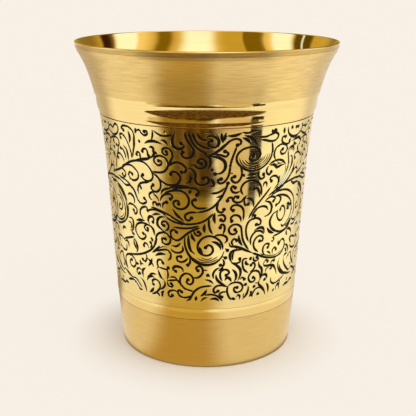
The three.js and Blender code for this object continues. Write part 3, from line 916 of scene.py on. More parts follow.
- 24.6 61.3 28.4 63.2 31 65.1 33.2 67 35 67.8 35.9 67.3 35.9 66.3
be 35.9 66 35.7 65.8
- 20.9 70.9 22.8 71.8 25 72 26.9 71.4 28.4 70
t 25.6 66.3 25.7 65 25.2 63.6
b 33.6 71.2 33 72 33.6 72.9 35 73.1 36.4 72.6 37.5 71.4
- 34.8 68.2 35.8 69.3 35.9 69.9
t 34 75.2 34.6 74.2 34.8 73.4
- 21.5 60.3 25.3 62.2 28 63.1 30.4 63.7 33 64.1 35 64.2 36.7 64 38.8 63.95
t 32.2 63.8 33.4 62.8 34.7 62.4 36.2 62.6 37.8 62.2
- 30.7 55.3 31.2 56 32.4 55.8 32.8 54.8 32 54 30.9 54.3
be 31.9 55.4 31.6 54.9
t 32.8 55.5 34.2 55.3
t 31 48 33 49 34.4 50.8
t 32.2 46.5 32.2 45.4 32.8 44.5
t 32.2 46.6 33.8 46.6 35.2 45.7 35.9 44.5
- 24.4 45.1 25 45.4 25.4 44.6 24.8 43.9 24.2 44.4
e 27.9 43.7 27.6 42.9 28.2 42.4
t 31.2 42.6 31.6 41 30.8 39.6 29.2 38.5
t 32.2 41.2 33.6 40.4 34.4 39 34.4 37.8
t 32 39.8 33 39 33.2 38
t 34.4 42.8 35.6 41.8 35.9 40.6
- 34.6 42.6 35.6 43.8 35.9 44.3
t 29.4 36.8 28.6 35.4 28.8 33.8 30 32 31.8 30.9 34 30.2 36 29.6 38.2 29.5
- 29.3 34.6 30.6 32.5 32.6 30.9
t 31.8 36.9 32 35 33.2 33.2 34.8 31.8 36.2 30.8 37.8 30.9
t 31.7 36.7 32.6 37.4 34.1 37.4
- 34 34.9 34.4 36 35.4 36.8 36.5 37.2 37.5 37
- 30.2 25.8 30.4 27.8 31.4 29 33 29.8
t 28.4 25.6 28.8 26.9 29.6 27.4 30.2 26.6 30.2 25.4
t 26.6 25.4 27.5 26
t 33 25.6 34.8 26.1 36.6 25.9 38 26.4
t 35.5 27.1 35.9 27.9
t 20.8 82.5 21.4 81.3
t 21.5 81.5 22.2 82.4 22.6 80.9
t -19.1 74.6 -18.2 73.3
t -18.3 76.9 -17.2 76.9 -16.6 75.6
- -0.6 75.8 0.8 74.6 1.3 72.8 0.6 70.8
t -12.2 64 -9 64.8 -5.4 64.9
t -2.3 44.6 -1.9 43.4 -1.2 42.4
h -0.8 82.4 1 82.6 2.4 81.9
h 2.6 82.3 3.6 80.9 4 79.2 3.4 77.8
t 1.4 75.6 3.6 76.7 5.6 78.5 7.2 79.8
t 1 67.6 1.9 67 2.3 65.6 1.4 65
h 10.2 74.2 10.7 72.7 11.9 71.3 13.6 70.5 15.5 70.2 17.6 70.7 19.5 72 20.6 73.6 20.8 74.9
h 11.1 73.5 11.7 72.5 12.7 71.6 14.1 71.1 15.6 70.9 17.3 71.3 18.8 72.3 19.8 73.5 20 74.7
h 12.1 73.4 12.5 72.8 13.3 72.1 14.4 71.7 15.7 71.6 17 72 18.2 72.8 19 73.8 19.2 74.4
h 16.2 72.3 17.2 72.7 18 73.4 18.4 74.1
h -1.6 40.8 -0.6 40.3 0.6 40.2 2.1 40.9
h -3.1 40.6 -1.6 39.9 0 39.6 1.8 39.9 3 40.6 3.9 41.2
h -4.3 40.7 -2.9 39.6 -1.2 39.1 0.6 39.1 2.4 39.5 3.9 40.4
"""


def strokes_of(text):
    """Strokes of a drawing: each a run of code letters and its points in millimetres."""
    strokes = []
    for word in text.split():
        if word == "-" or word.isalpha():
            strokes.append((word, []))
        else:
            strokes[-1][1].append(float(word))
    return [(codes, np.reshape(numbers, (-1, 2))) for codes, numbers in strokes]


def smooth_path(points):
    """A smooth curve through points, with its corners closer together where it bends more.

    Each span is a cubic whose end slopes come from the parabola through three neighbours, with knots
    at the square root of their distance. Corners are set so far apart that a straight line between two
    lies a sag off the curve, within a shortest and a longest step.
    """
    span_steps, fewest = 16, 4
    sag, shortest, longest = 0.0125, 0.3, 1.2
    if len(points) == 2:
        return np.linspace(points[0], points[1], fewest)
    knot_step = np.sqrt(np.linalg.norm(np.diff(points, axis=0), axis=1))[:, None]
    rise = np.diff(points, axis=0) / knot_step
    middle = (rise[:-1] * knot_step[1:] + rise[1:] * knot_step[:-1]) / (knot_step[1:] + knot_step[:-1])
    first, last = 1.5 * rise[0] - 0.5 * middle[0], 1.5 * rise[-1] - 0.5 * middle[-1]
    slope = np.vstack((first, middle, last))
    share = np.linspace(0, 1, span_steps + 1)[None, :-1, None]
    here, there = points[:-1, None], points[1:, None]
    run = knot_step[:, None]
    fine = (
        (1 + 2 * share) * (1 - share) ** 2 * here
        + share * (1 - share) ** 2 * run * slope[:-1, None]
        + share**2 * (3 - 2 * share) * there
        - share**2 * (1 - share) * run * slope[1:, None]
    )
    fine = np.vstack((fine.reshape(-1, 2), points[-1:]))
    step = np.diff(fine, axis=0)
    span = np.linalg.norm(step, axis=1)
    heading = np.unwrap(np.arctan2(step[:, 1], step[:, 0]))
    bend = np.abs(np.gradient(heading)) / span
    pace = np.clip(np.sqrt(8 * sag / np.maximum(bend, 1e-6)), shortest, longest)
    need = np.concatenate(([0], np.cumsum(span / pace)))
    wanted = np.linspace(0, need[-1], max(fewest, math.ceil(need[-1]) + 1))
    return np.column_stack([np.interp(wanted, need, fine[:, axis]) for axis in (0, 1)])


def half_widths(codes, path, cuts):
    """Half the width of a stroke at each corner, in millimetres.

    A broad one swells by the square root of half a sine. Any other keeps its width, but thins by the
    square root of the distance that is left to an end without a ball.
    """
    blunt, taper, finest = 0.03, 1.1, 0.12
    span = np.linalg.norm(np.diff(path, axis=0), axis=1)
    along = np.concatenate(([0], np.cumsum(span)))
    if "t" in codes:
        share = np.clip(along / along[-1], blunt, 1 - blunt)
        return cuts.broad / 2 * np.sqrt(np.sin(share * math.pi)) / MM
    start = np.ones(len(path)) if "b" in codes else along / taper
    end = np.ones(len(path)) if "e" in codes else (along[-1] - along) / taper
    free = np.clip(np.minimum(start, end), finest, 1) ** 0.5
    return (cuts.hair if "h" in codes else cuts.line) / 2 / MM * free


def outline(path, width):
    """Closed line round a stroke: out along one side, round the end, and back along the other."""
    step = np.gradient(path, axis=0)
    ahead = step / np.linalg.norm(step, axis=1)[:, None]
    aside = np.column_stack((-ahead[:, 1], ahead[:, 0])) * width[:, None]
    tip = path[-1] + ahead[-1] * width[-1]
    tail = path[0] - ahead[0] * width[0]
    return np.vstack((path + aside, tip, (path - aside)[::-1], tail))


class Drawing:
    """Engraved lines of one repeat, unrolled: across by arc length at the mean radius, up by height.

    All its lengths are in millimetres. Strokes that pass one end come back in at the other. Places are
    looked up band by band in height, among the strokes that are within reach of the band.
    """

    mean_radius = 35.0
    ball_corners = 14
    side_rows = 30
    margin = 0.5
    reach = 1.5
    band = 1.0

    def __init__(self, cuts, low, high):
        self.width = 2 * math.pi * self.mean_radius / cuts.repeats
        self.edge = self.width / 2
        self.low, self.high = low, high
        self.bevel = cuts.bevel / MM
        ball = cuts.ball / MM / 2
        clock = np.linspace(0, 2 * math.pi, self.ball_corners + 1)[:-1]
        ring = np.column_stack((np.cos(clock), np.sin(clock)))
        loops, shapes = [], []
        for codes, points in strokes_of(SCROLL):
            path = smooth_path(points)
            width = half_widths(codes, path, cuts)
            shapes.append((path, width))
            loops += [outline(path, width), outline(path, self.floor_width(width))]
            for end in [points[0]] * ("b" in codes) + [points[-1]] * ("e" in codes):
                shapes.append((np.array([end, end]), np.array([ball, ball])))
                loops += [end + ring * ball, end + ring * self.floor_width(ball)]
        moves = np.array([[0, 0], [self.width, 0], [-self.width, 0]])
        self.starts = np.vstack([path[:-1] + move for move in moves for path, _ in shapes])
        self.stops = np.vstack([path[1:] + move for move in moves for path, _ in shapes])
        self.start_widths = np.tile(np.concatenate([width[:-1] for _, width in shapes]), len(moves))
        self.stop_widths = np.tile(np.concatenate([width[1:] for _, width in shapes]), len(moves))
        self.loops = list(loops)
        for move in moves[1:]:
            moved = [loop + move for loop in loops]
            self.loops += [loop for loop in moved if np.abs(loop[:, 0]).min() < self.edge + self.margin]

    def floor_width(self, width):
        """Half the width of the lacquered floor of a line, inside its sloping sides."""
        least_share = 0.65
        return np.maximum(width - self.bevel, least_share * width)

    def sink(self, places):
        """How far down the cut is at each place: below 0 on the metal, 1 and over on the floor.

        It is the deepest of all strokes near by: half the stroke's width less the distance to its
        middle line, over the width of its sloping side.
        """
        clear_of_all = -50.0
        deepest = np.full(len(places), clear_of_all)
        low = np.minimum(self.starts[:, 1], self.stops[:, 1])
        high = np.maximum(self.starts[:, 1], self.stops[:, 1])
        for bottom in np.arange(self.low, self.high, self.band):
            top = bottom + self.band
            chosen = np.flatnonzero((places[:, 1] >= bottom) & (places[:, 1] < top))
            near = (high > bottom - self.reach) & (low < top + self.reach)
            if len(chosen) == 0 or not near.any():
                continue
            start = self.starts[near][None]
            run = self.stops[near][None] - start
            gap = places[chosen][:, None] - start
            share = (gap * run).sum(-1) / np.maximum((run * run).sum(-1), 1e-12)
            share = np.clip(share, 0, 1)
            first, last = self.start_widths[near][None], self.stop_widths[near][None]
            width = first + share * (last - first)
            away = np.linalg.norm(gap - share[..., None] * run, axis=-1)
            slope = width - self.floor_width(width)
            deepest[chosen] = ((width - away) / slope).max(axis=1)
        return deepest

    def triangles(self, columns, spacing):
        """Flat triangles of one repeat that follow every outline, with how far each corner is sunk.

        The plain metal between the outlines gets corners in staggered rows, clear of every line.
        """
        row_share, line_clear, side_clear, merged, levelled = 0.87, 0.45, 0.4, 0.003, 0.1
        edge, rows = self.edge, self.side_rows
        across = np.linspace(-edge, edge, columns + 1)
        up = np.linspace(self.low, self.high, rows + 1)
        border = np.vstack(
            (
                np.column_stack((across[:-1], np.full(columns, self.low))),
                np.column_stack((np.full(rows, edge), up[:-1])),
                np.column_stack((across[:0:-1], np.full(columns, self.high))),
                np.column_stack((np.full(rows, -edge), up[:0:-1])),
            )
        )
        row, column = np.meshgrid(
            np.arange(self.low + spacing, self.high - spacing / 2, spacing * row_share),
            np.arange(-edge + spacing, edge - spacing / 2, spacing),
            indexing="ij",
        )
        column = column + (np.arange(len(row)) % 2)[:, None] * spacing / 2
        land = np.column_stack((column.ravel(), row.ravel()))
        land = land[(self.sink(land) * self.bevel < -line_clear) & (land[:, 0] < edge - side_clear)]
        loops = [border] + self.loops
        links = []
        first = 0
        for loop in loops:
            here = np.arange(len(loop)) + first
            links.append(np.column_stack((here, np.roll(here, -1))))
            first += len(loop)
        corners, _, faces, _, _, _ = delaunay_2d_cdt(
            np.vstack(loops + [land]).tolist(), np.vstack(links).tolist(), [], 0, merged
        )
        corners = np.array(corners)
        faces = np.array(faces)
        middle = corners[faces].mean(axis=1)
        inside = (np.abs(middle[:, 0]) < edge) & (middle[:, 1] > self.low) & (middle[:, 1] < self.high)
        faces = faces[inside]
        side = corners[faces]
        one, two = side[:, 1] - side[:, 0], side[:, 2] - side[:, 0]
        turned = one[:, 0] * two[:, 1] - one[:, 1] * two[:, 0] < 0
        faces[turned] = faces[turned][:, ::-1]
        used, packed = np.unique(faces, return_inverse=True)
        corners, faces = corners[used], packed.reshape(-1, 3)
        sunk = np.clip((self.sink(corners) - levelled) / (1 - 2 * levelled), 0, 1)
        return corners, faces, sunk, self.sink(corners[faces].mean(axis=1))


def sleeve_mesh(wall, cuts, columns=48):
    """Corners, faces, UVs, normals and materials of the engraved sleeve.

    The outside is the wall line turned round the axis, less the depth of the cut at each place:
    x = r sin a, y = -r cos a, where a is the arc length of the drawing over its mean radius. Its top is
    turned in by the square of the height above where the turn starts. The back is the wall line set in
    by the sheet, and two flat rings close the ends.
    """
    sizes = wall.sizes
    slope_from, floor_from = 0.05, 0.85
    front_share, back_from, back_share = 0.8, 0.82, 0.18
    on_border, ends_apart = 1e-4, 0.02
    low = wall.sleeve_bottom + sizes.film / 2
    high = wall.sleeve_top - sizes.film / 2
    drawing = Drawing(cuts, low / MM, high / MM)
    flat, triangles, sunk, face_sink = drawing.triangles(columns, cuts.land / MM)
    count = len(flat)

    def on(axis, value):
        """Corners on one border of the repeat, in order along it."""
        found = np.flatnonzero(np.abs(flat[:, axis] - value) < on_border)
        return found[np.argsort(flat[found, 1 - axis])]

    left, right = on(0, -drawing.edge), on(0, drawing.edge)
    if len(left) != len(right) or np.abs(flat[left, 1] - flat[right, 1]).max() > ends_apart:
        raise RuntimeError("the two ends of the drawing don't meet")
    flat[right, 1] = flat[left, 1]
    sunk[right] = sunk[left]
    repeat = np.arange(cuts.repeats)
    turn = flat[None, :, 0] / drawing.mean_radius + repeat[:, None] * 2 * math.pi / cuts.repeats
    turn = turn.ravel()
    height = np.tile(flat[:, 1] * MM, cuts.repeats)
    depth = np.tile(sunk, cuts.repeats) * cuts.depth
    lean = wall.lean(height)
    turned_in = np.clip((height - high) / sizes.sleeve_turn_height + 1, 0, None)
    radius = wall.radius(height) - sizes.sleeve_turn * turned_in**2 - depth * np.cos(lean)
    level = height + depth * np.sin(lean)
    front = np.column_stack((radius * np.sin(turn), -radius * np.cos(turn), level))
    facing = np.arctan(np.tan(lean) - 2 * turned_in * sizes.sleeve_turn / sizes.sleeve_turn_height)
    outward = np.column_stack(
        (np.cos(facing) * np.sin(turn), -np.cos(facing) * np.cos(turn), -np.sin(facing))
    )
    index = np.arange(count * cuts.repeats).reshape(cuts.repeats, count)
    index[:, right] = np.roll(index[:, left], -1, axis=0)
    front_faces = index[:, triangles].reshape(-1, 3)
    face_sink = np.tile(face_sink, cuts.repeats)
    floor = face_sink > floor_from
    sloping = (face_sink > slope_from) & ~floor
    one = front[front_faces[:, 1]] - front[front_faces[:, 0]]
    two = front[front_faces[:, 2]] - front[front_faces[:, 0]]
    square = np.cross(one, two)
    square = square / np.maximum(np.linalg.norm(square, axis=1), 1e-15)[:, None]
    front_normals = np.where(sloping[:, None, None], square[:, None], outward[front_faces])

    back_heights = wall.heights(low, high)[::-1]
    back_line = wall.points(back_heights, -sizes.outer_sheet)
    top = index[:, on(1, high / MM)[:-1]].ravel()
    bottom = index[:, on(1, low / MM)[:-1]].ravel()
    if len(top) != columns * cuts.repeats or len(bottom) != len(top):
        raise RuntimeError("the sleeve's edges have corners out of step")
    column_turn = (np.arange(len(top)) / columns - 0.5) * 2 * math.pi / cuts.repeats
    around = np.column_stack((np.sin(column_turn), -np.cos(column_turn)))
    back = np.concatenate(
        (
            back_line[:, None, :1] * around[None],
            np.broadcast_to(back_line[:, None, 1:], (len(back_line), len(top), 1)),
        ),
        axis=-1,
    ).reshape(-1, 3)
    back_rings = np.arange(len(back)).reshape(len(back_line), -1) + len(front)
    closing = strips(np.vstack((top[None], back_rings, bottom[None])))
    back_lean = wall.lean(back_heights)
    slope = np.concatenate((back_lean[:1], back_lean, back_lean[-1:]))
    closing_normals = np.empty(closing.shape + (3,))
    beside = np.roll(around, -1, axis=0)
    for corner, (line, turned) in enumerate(((0, around), (0, beside), (1, beside), (1, around))):
        angle = slope[line : line + len(closing)]
        side, lift = -np.cos(angle), np.sin(angle)
        side[0], lift[0] = np.sin(angle[0]), np.cos(angle[0])
        side[-1], lift[-1] = -np.sin(angle[-1]), -np.cos(angle[-1])
        closing_normals[:, :, corner, :2] = side[:, None, None] * turned[None]
        closing_normals[:, :, corner, 2] = lift[:, None]

    def with_fourth(rows):
        """Rows for triangles as rows for four corners, the third corner twice."""
        return np.concatenate((rows, rows[:, 2:]), axis=1)

    share = (flat[triangles, 0] / drawing.width + 0.5)[None] + repeat[:, None, None]
    climb = front_share * (flat[triangles, 1] - drawing.low) / (drawing.high - drawing.low)
    front_uv = np.stack(
        (share.reshape(-1, 3) / cuts.repeats, np.tile(climb, (cuts.repeats, 1))), axis=-1
    )
    closing_uv = strip_uv(back_from + back_share * np.arange(len(closing) + 1) / len(closing), len(top))
    faces = np.vstack((with_fourth(front_faces), closing.reshape(-1, 4)))
    normals = np.concatenate((with_fourth(front_normals), closing_normals.reshape(-1, 4, 3)))
    uv = np.concatenate((with_fourth(front_uv), closing_uv))
    lacquered = np.concatenate((floor, np.zeros(len(closing_uv), bool)))
    return np.vstack((front, back)), faces, uv, normals, lacquered


def add_node(tree, kind, inputs=None, **settings):
    """Adds a node, gives each input named a link or a value, and sets its own settings."""
    node = tree.nodes.new(kind)
    for key, value in settings.items():
        setattr(node, key, value)
    for key, value in (inputs or {}).items():
        if isinstance(value, bpy.types.NodeSocket):
            tree.links.new(value, node.inputs[key])
        else:
            node.inputs[key].default_value = value
    return node


def new_material(name):
    """An empty material and its node tree."""
    material = bpy.data.materials.new(name)
    material.use_nodes = True
    material.node_tree.nodes.clear()
    return material, material.node_tree


def rgba(parts):
    """A colour with full cover."""
    return (*parts, 1.0)


def grain(tree, around, up, detail=2.0):
    """Noise from -1 to 1, drawn out to level stripes whose length and height are in millimetres."""
    place = add_node(tree, "ShaderNodeTexCoord").outputs["Object"]
    scale = (1 / (around * MM), 1 / (around * MM), 1 / (up * MM))
    stretched = add_node(tree, "ShaderNodeVectorMath", {0: place, 1: scale}, operation="MULTIPLY")
    drawn = {"Vector": stretched.outputs[0], "Scale": 1.0, "Detail": detail}
    return add_node(tree, "ShaderNodeTexNoise", drawn, normalize=False).outputs["Fac"]


METAL = {"Metallic": 1.0}
BRUSHED = {"Metallic": 1.0, "Anisotropic": 0.7, "Anisotropic Rotation": 0.25}
LACQUER = {"Specular IOR Level": 0.08}


def finish(name, sockets, light, dark, roughness, spread, stripes, lift, waves=0.0):
    """A worked surface, made once for each name: stripes of two colours, the darker ones rougher.

    Stripes are the length and height of their marks, lift is the height of their relief and waves that
    of a slow swell under it, all in millimetres. Sockets are the shader's own even settings.
    """
    if name in bpy.data.materials:
        return bpy.data.materials[name]
    extent = 0.6
    swell_length, swell_height = 16, 14
    material, tree = new_material(name)
    pattern = grain(tree, *stripes)
    mixed = add_node(
        tree, "ShaderNodeMapRange", {"Value": pattern, "From Min": -extent, "From Max": extent}
    ).outputs[0]
    shade = add_node(
        tree, "ShaderNodeMix", {0: mixed, 6: rgba(dark), 7: rgba(light)}, data_type="RGBA"
    ).outputs[2]
    rough = add_node(
        tree,
        "ShaderNodeMapRange",
        {"Value": mixed, "To Min": roughness + spread, "To Max": roughness - spread},
    ).outputs[0]
    relief = add_node(
        tree, "ShaderNodeBump", {"Height": pattern, "Strength": 1.0, "Distance": lift * MM}
    ).outputs[0]
    if waves:
        swell = grain(tree, swell_length, swell_height, 0.0)
        relief = add_node(
            tree,
            "ShaderNodeBump",
            {"Height": swell, "Strength": 1.0, "Distance": waves * MM, "Normal": relief},
        ).outputs[0]
    inputs = {"Base Color": shade, "Roughness": rough, "Normal": relief, **sockets}
    if "Anisotropic" in sockets:
        lay = add_node(tree, "ShaderNodeTangent", direction_type="UV_MAP", uv_map=BAKE_MAP)
        inputs["Tangent"] = lay.outputs[0]
    surface = add_node(tree, "ShaderNodeBsdfPrincipled", inputs)
    add_node(tree, "ShaderNodeOutputMaterial", {"Surface": surface.outputs[0]})
    return material


def times(parts, share):
    """A colour with its light multiplied by a share."""
    return tuple(part * share for part in parts)


def mirror_brass():
    """Brass drawn and polished to a mirror: sharp golden reflections that waver a little."""
    tint = bpy.context.scene.tumbler_colours.mirror
    return finish(
        "drawn_brass_mirror", METAL, tint, times(tint, 0.94),
        roughness=0.04, spread=0.02, stripes=(12, 0.8), lift=0.0004, waves=0.02,
    )


# Real turning and brush lines are under a tenth of a millimetre high and can't show in the render, so
# those on the rings, the lip, the collar and the foot are drawn about three times as coarse.
def ring_brass():
    """Brass turned and buffed: clear reflections with faint turning lines round the ring."""
    tint = bpy.context.scene.tumbler_colours.polished
    return finish(
        "turned_brass_buffed", METAL, tint, times(tint, 0.92),
        roughness=0.06, spread=0.03, stripes=(25, 0.25), lift=0.0004,
    )


def sleeve_brass():
    """Brass polished before it is engraved: clear but soft reflections with fine wiping marks."""
    tint = bpy.context.scene.tumbler_colours.engraved
    return finish(
        "engraved_brass_polished", METAL, tint, times(tint, 0.93),
        roughness=0.08, spread=0.03, stripes=(9, 1.2), lift=0.0005,
    )


def lip_brass_painted_shade():
    """Brass brushed like the collar, its colour darkened as painted shade on the hem's outside: a dull
    gold band.
    """
    tint = bpy.context.scene.tumbler_colours.lip
    sockets = {**BRUSHED, "Anisotropic": 0.6}
    return finish(
        "hemmed_satin_brass_painted_shade", sockets, tint, times(tint, 0.86),
        roughness=0.3, spread=0.05, stripes=(7, 0.3), lift=0.0015,
    )


def satin_brass():
    """Brass brushed round the axis: broad soft highlights in short level streaks."""
    tints = bpy.context.scene.tumbler_colours
    return finish(
        "spun_brass_satin", BRUSHED, tints.satin, tints.satin_streak,
        roughness=0.32, spread=0.04, stripes=(6, 0.34), lift=0.0034,
    )


def foot_brass():
    """Brass brushed round the axis with a finer grit: the same soft highlights, fainter streaks."""
    tints = bpy.context.scene.tumbler_colours
    return finish(
        "spun_brass_fine", BRUSHED, tints.foot, tints.foot_streak,
        roughness=0.32, spread=0.04, stripes=(6, 0.28), lift=0.0028,
    )


def base_brass():
    """Plain pressed sheet: a dull gold with the marks of rolling."""
    tint = bpy.context.scene.tumbler_colours.base
    return finish(
        "pressed_brass_plain", METAL, tint, times(tint, 0.86),
        roughness=0.34, spread=0.08, stripes=(2.5, 2.5), lift=0.004,
    )


def soft_solder():
    """Soft solder left as it set: a dull grey with shallow ripples."""
    tint = bpy.context.scene.tumbler_colours.solder
    return finish(
        "soft_solder_set", METAL, tint, times(tint, 0.8),
        roughness=0.45, spread=0.1, stripes=(1.2, 1.2), lift=0.01,
    )


def black_lacquer():
    """Black lacquer wiped into the cuts and stoved: near black, with a soft uneven shine."""
    tint = bpy.context.scene.tumbler_colours.lacquer
    return finish(
        "black_lacquer_stoved", LACQUER, times(tint, 1.6), tint,
        roughness=0.6, spread=0.1, stripes=(0.7, 0.7), lift=0.004,
    )


def floor_patch(azimuth, reach):
    """Places on the floor: degrees round the axis, 0 in front and rising to the right, and distance
    from the axis in millimetres."""
    turn = np.radians(azimuth)
    place = np.stack((reach * np.sin(turn), -reach * np.cos(turn), np.zeros_like(reach)), axis=-1)
    return place * MM


# The room patch's near edge: degrees round the axis and distance from it in millimetres.
NEAR_EDGE = (
    (-63, 315), (-60, 292), (-54, 250), (-47, 218), (-42, 210), (-36, 196), (-30, 184), (-12, 178),
    (4, 180), (12, 194), (20, 208), (35, 212), (44, 232), (53, 262), (60, 328),
)


def room_patch(azimuth, share):
    """Places on the floor beyond a bowed near edge, by azimuth and share of the way to a far edge.

    The near edge is at its closest in front, steps away to either side and then bows further out. The
    far edge is furthest in front and comes nearer by the square of the azimuth.
    """
    far_front, far_bow = 475, 0.034
    near = np.interp(azimuth, *np.transpose(NEAR_EDGE))
    far = far_front - far_bow * azimuth**2
    return floor_patch(azimuth, near + share * (far - near))


def dome_patch(azimuth, elevation):
    """Places on a dome round the tumbler by degrees round the axis and degrees of elevation."""
    reach, middle = 700 * MM, 100 * MM
    turn, climb = np.radians(azimuth), np.radians(elevation)
    level = reach * np.cos(climb)
    return np.stack(
        (level * np.sin(turn), -level * np.cos(turn), reach * np.sin(climb) + middle), axis=-1
    )


TINTS = {
    "brown": "#7a5a2c",
    "gold": "#d8b45a",
    "bright": "#e9cc6a",
    "amber": "#b49741",
    "straw": "#e6cc98",
    "deep straw": "#e2c582",
    "cool": "#a9c2ff",
    "warm": "#fff6e4",
    "white": "#fffdf6",
    "dark": "#4a2f0c",
    "shade": "#a58a52",
    "ochre": "#978119",
    "black": "#3a2c1c",
}

# Cards that stand in for the room that polished brass mirrors. Some are painted shadow and shade on the
# floor as reflections see it: contact, contact_line, side_left, side_right and foot_left round the foot
# and to either side, and gold_near, gold_middle and amber_front in front. Each has a name, a surface, its
# spans of the surface's two parameters, a tint, a strength, a cover, how much of each span a soft edge
# takes, and how mottled it is where that isn't 0. On the floor a later card lies over an earlier one, and
# on the dome it lies behind.
CARDS = (
    # Painted shadow: the floor in the tumbler's own shade round the foot and to either side.
    ("contact", floor_patch, (-180, 180), (10, 104), "gold", 0.9, 0.3, (0.05, 0.32)),
    ("contact_line", floor_patch, (-180, 180), (20, 32.4), "dark", 0.7, 0.8, (0.02, 0.12)),
    ("side_left", floor_patch, (-206, -100), (34, 900), "shade", 1.0, 0.65, (0.25, 0.04)),
    ("side_right", floor_patch, (104, 206), (34, 900), "shade", 1.0, 0.42, (0.25, 0.04)),
    ("foot_left", floor_patch, (-178, -104), (24, 90), "shade", 0.75, 0.7, (0.3, 0.3)),
    ("bright_right", floor_patch, (58, 108), (60, 420), "white", 1.32, 0.9, (0.4, 0.12)),
    ("straw_front", floor_patch, (-60, 52), (120, 175), "deep straw", 1.0, 0.8, (0.3, 0.3)),
    ("straw_left", floor_patch, (-62, -36), (150, 222), "straw", 1.0, 0.8, (0.25, 0.2)),
    ("straw_right", floor_patch, (8, 50), (152, 222), "straw", 0.97, 0.85, (0.2, 0.2)),
    # Painted shade: the floor darker in front of the tumbler.
    ("gold_near", floor_patch, (-58, 22), (18, 94), "gold", 0.93, 0.95, (0.3, 0.2)),
    ("gold_middle", floor_patch, (-54, 10), (72, 145), "bright", 0.9, 0.95, (0.24, 0.16)),
    ("amber_front", floor_patch, (-52, 10), (112, 250), "amber", 0.88, 1.0, (0.2, 0.25)),
    ("strip_upper", floor_patch, (43, 58), (188, 232), "black", 0.7, 1.0, (0.12, 0.12)),
    ("strip_lower", floor_patch, (42, 53), (170, 196), "black", 0.8, 0.9, (0.2, 0.15)),
    ("overhead", dome_patch, (-180, 180), (62, 90), "warm", 1.5, 1.0, (0.02, 0.15)),
    ("soft_front", dome_patch, (-17, 41), (2, 84), "cool", 3.2, 1.0, (0.32, 0.2)),
    ("veil_front", dome_patch, (-28, 52), (0, 82), "warm", 1.35, 0.75, (0.4, 0.2)),
    ("soft_right", dome_patch, (87, 119), (0, 76), "cool", 3.2, 1.0, (0.2, 0.25)),
    ("veil_right", dome_patch, (63, 126), (0, 76), "warm", 1.35, 0.75, (0.38, 0.25)),
    ("soft_left", dome_patch, (-112, -81), (0, 76), "cool", 3.2, 1.0, (0.24, 0.25)),
    ("veil_left", dome_patch, (-114, -68), (0, 76), "warm", 1.35, 0.75, (0.38, 0.25)),
    ("dim_right", dome_patch, (43, 72), (2, 80), "ochre", 0.85, 1.0, (0.35, 0.2)),
    ("dim_left", dome_patch, (-76, -47), (2, 80), "ochre", 0.8, 1.0, (0.12, 0.2)),
    ("sliver", dome_patch, (-123, -119.5), (0, 60), "cool", 2.4, 1.0, (0.3, 0.2)),
    ("dark_left", dome_patch, (-136, -108), (0, 70), "ochre", 0.45, 1.0, (0.2, 0.2)),
    ("dark_right", dome_patch, (115, 137), (0, 70), "dark", 0.7, 1.0, (0.25, 0.2)),
    ("dim_back", dome_patch, (130, 210), (-3, 60), "dark", 1.0, 0.6, (0.25, 0.2)),
    ("dark_front", room_patch, (-63, 60), (0, 1), "brown", 0.75, 1.0, (0.02, 0.02), 0.6),
    ("dark_spot", floor_patch, (-14, 10), (170, 198), "dark", 0.5, 0.85, (0.35, 0.35)),
)


def card(layer, name, surface, across, up, tint, strength, cover, soft, mottle=0.0):
    """A card that only reflections see: a patch of a surface of two parameters with soft edges.

    Its layer lifts it above the cards before it, so that no two lie in one plane. Its cover rises from
    0 at an edge by a cubic.
    """
    count = 65
    lift = 0.1 * MM
    blotch, extent = 22, 0.5
    share = np.linspace(0, 1, count)
    row, column = np.meshgrid(share, share, indexing="ij")
    corners = surface(
        across[0] + column * (across[1] - across[0]), up[0] + row * (up[1] - up[0])
    ).reshape(-1, 3)
    corners[:, 2] += lift * (1 + layer)
    ring = np.arange(count * count).reshape(count, count)
    faces = np.stack((ring[:-1, :-1], ring[:-1, 1:], ring[1:, 1:], ring[1:, :-1]), axis=-1).reshape(-1, 4)
    uv = np.stack((column, row), axis=-1).reshape(-1, 2)
    made = make_mesh(name, corners, faces, uv[faces])
    rise = np.clip(np.minimum(share, 1 - share)[None] / np.array(soft)[:, None], 0, 1)
    rise = rise * rise * (3 - 2 * rise)
    fade = (np.outer(rise[1], rise[0]) * cover).ravel().astype(np.float32)
    made.data.attributes.new("fade", "FLOAT", "POINT").data.foreach_set("value", fade)
    material, tree = new_material(name)
    if mottle:
        strength = add_node(
            tree,
            "ShaderNodeMapRange",
            {
                "Value": grain(tree, blotch, blotch, 3.0),
                "From Min": -extent,
                "From Max": extent,
                "To Min": strength * (1 - mottle),
                "To Max": strength * (1 + mottle),
            },
        ).outputs[0]
    glow = add_node(
        tree, "ShaderNodeEmission", {"Color": rgba(linear(TINTS[tint])), "Strength": strength}
    )
    clear = add_node(tree, "ShaderNodeBsdfTransparent")
    faded = add_node(tree, "ShaderNodeAttribute", attribute_name="fade").outputs["Fac"]
    mixed = add_node(tree, "ShaderNodeMixShader", {0: faded, 1: clear.outputs[0], 2: glow.outputs[0]})
    add_node(tree, "ShaderNodeOutputMaterial", {"Surface": mixed.outputs[0]})
    material.cycles.emission_sampling = "NONE"
    made.data.materials.append(material)
    made.visible_camera = False
    made.visible_diffuse = False
    made.visible_shadow = False
    made.visible_transmission = False


def key_lamp():
    """A broad soft light from far away, above the front right."""
    azimuth, elevation = math.radians(35), math.radians(54)
    light = bpy.data.lights.new("key", "SUN")
    light.angle = math.radians(60)
    light.energy = 0.75
    light.color = linear("#fffcf8")
    lamp = bpy.data.objects.new("key", light)
    bpy.context.scene.collection.objects.link(lamp)
    level = math.cos(elevation)
    away = Vector((level * math.sin(azimuth), -level * math.cos(azimuth), math.sin(elevation)))
    lamp.location = away
    lamp.rotation_euler = away.to_track_quat("Z", "Y").to_euler()
    lamp.visible_glossy = False


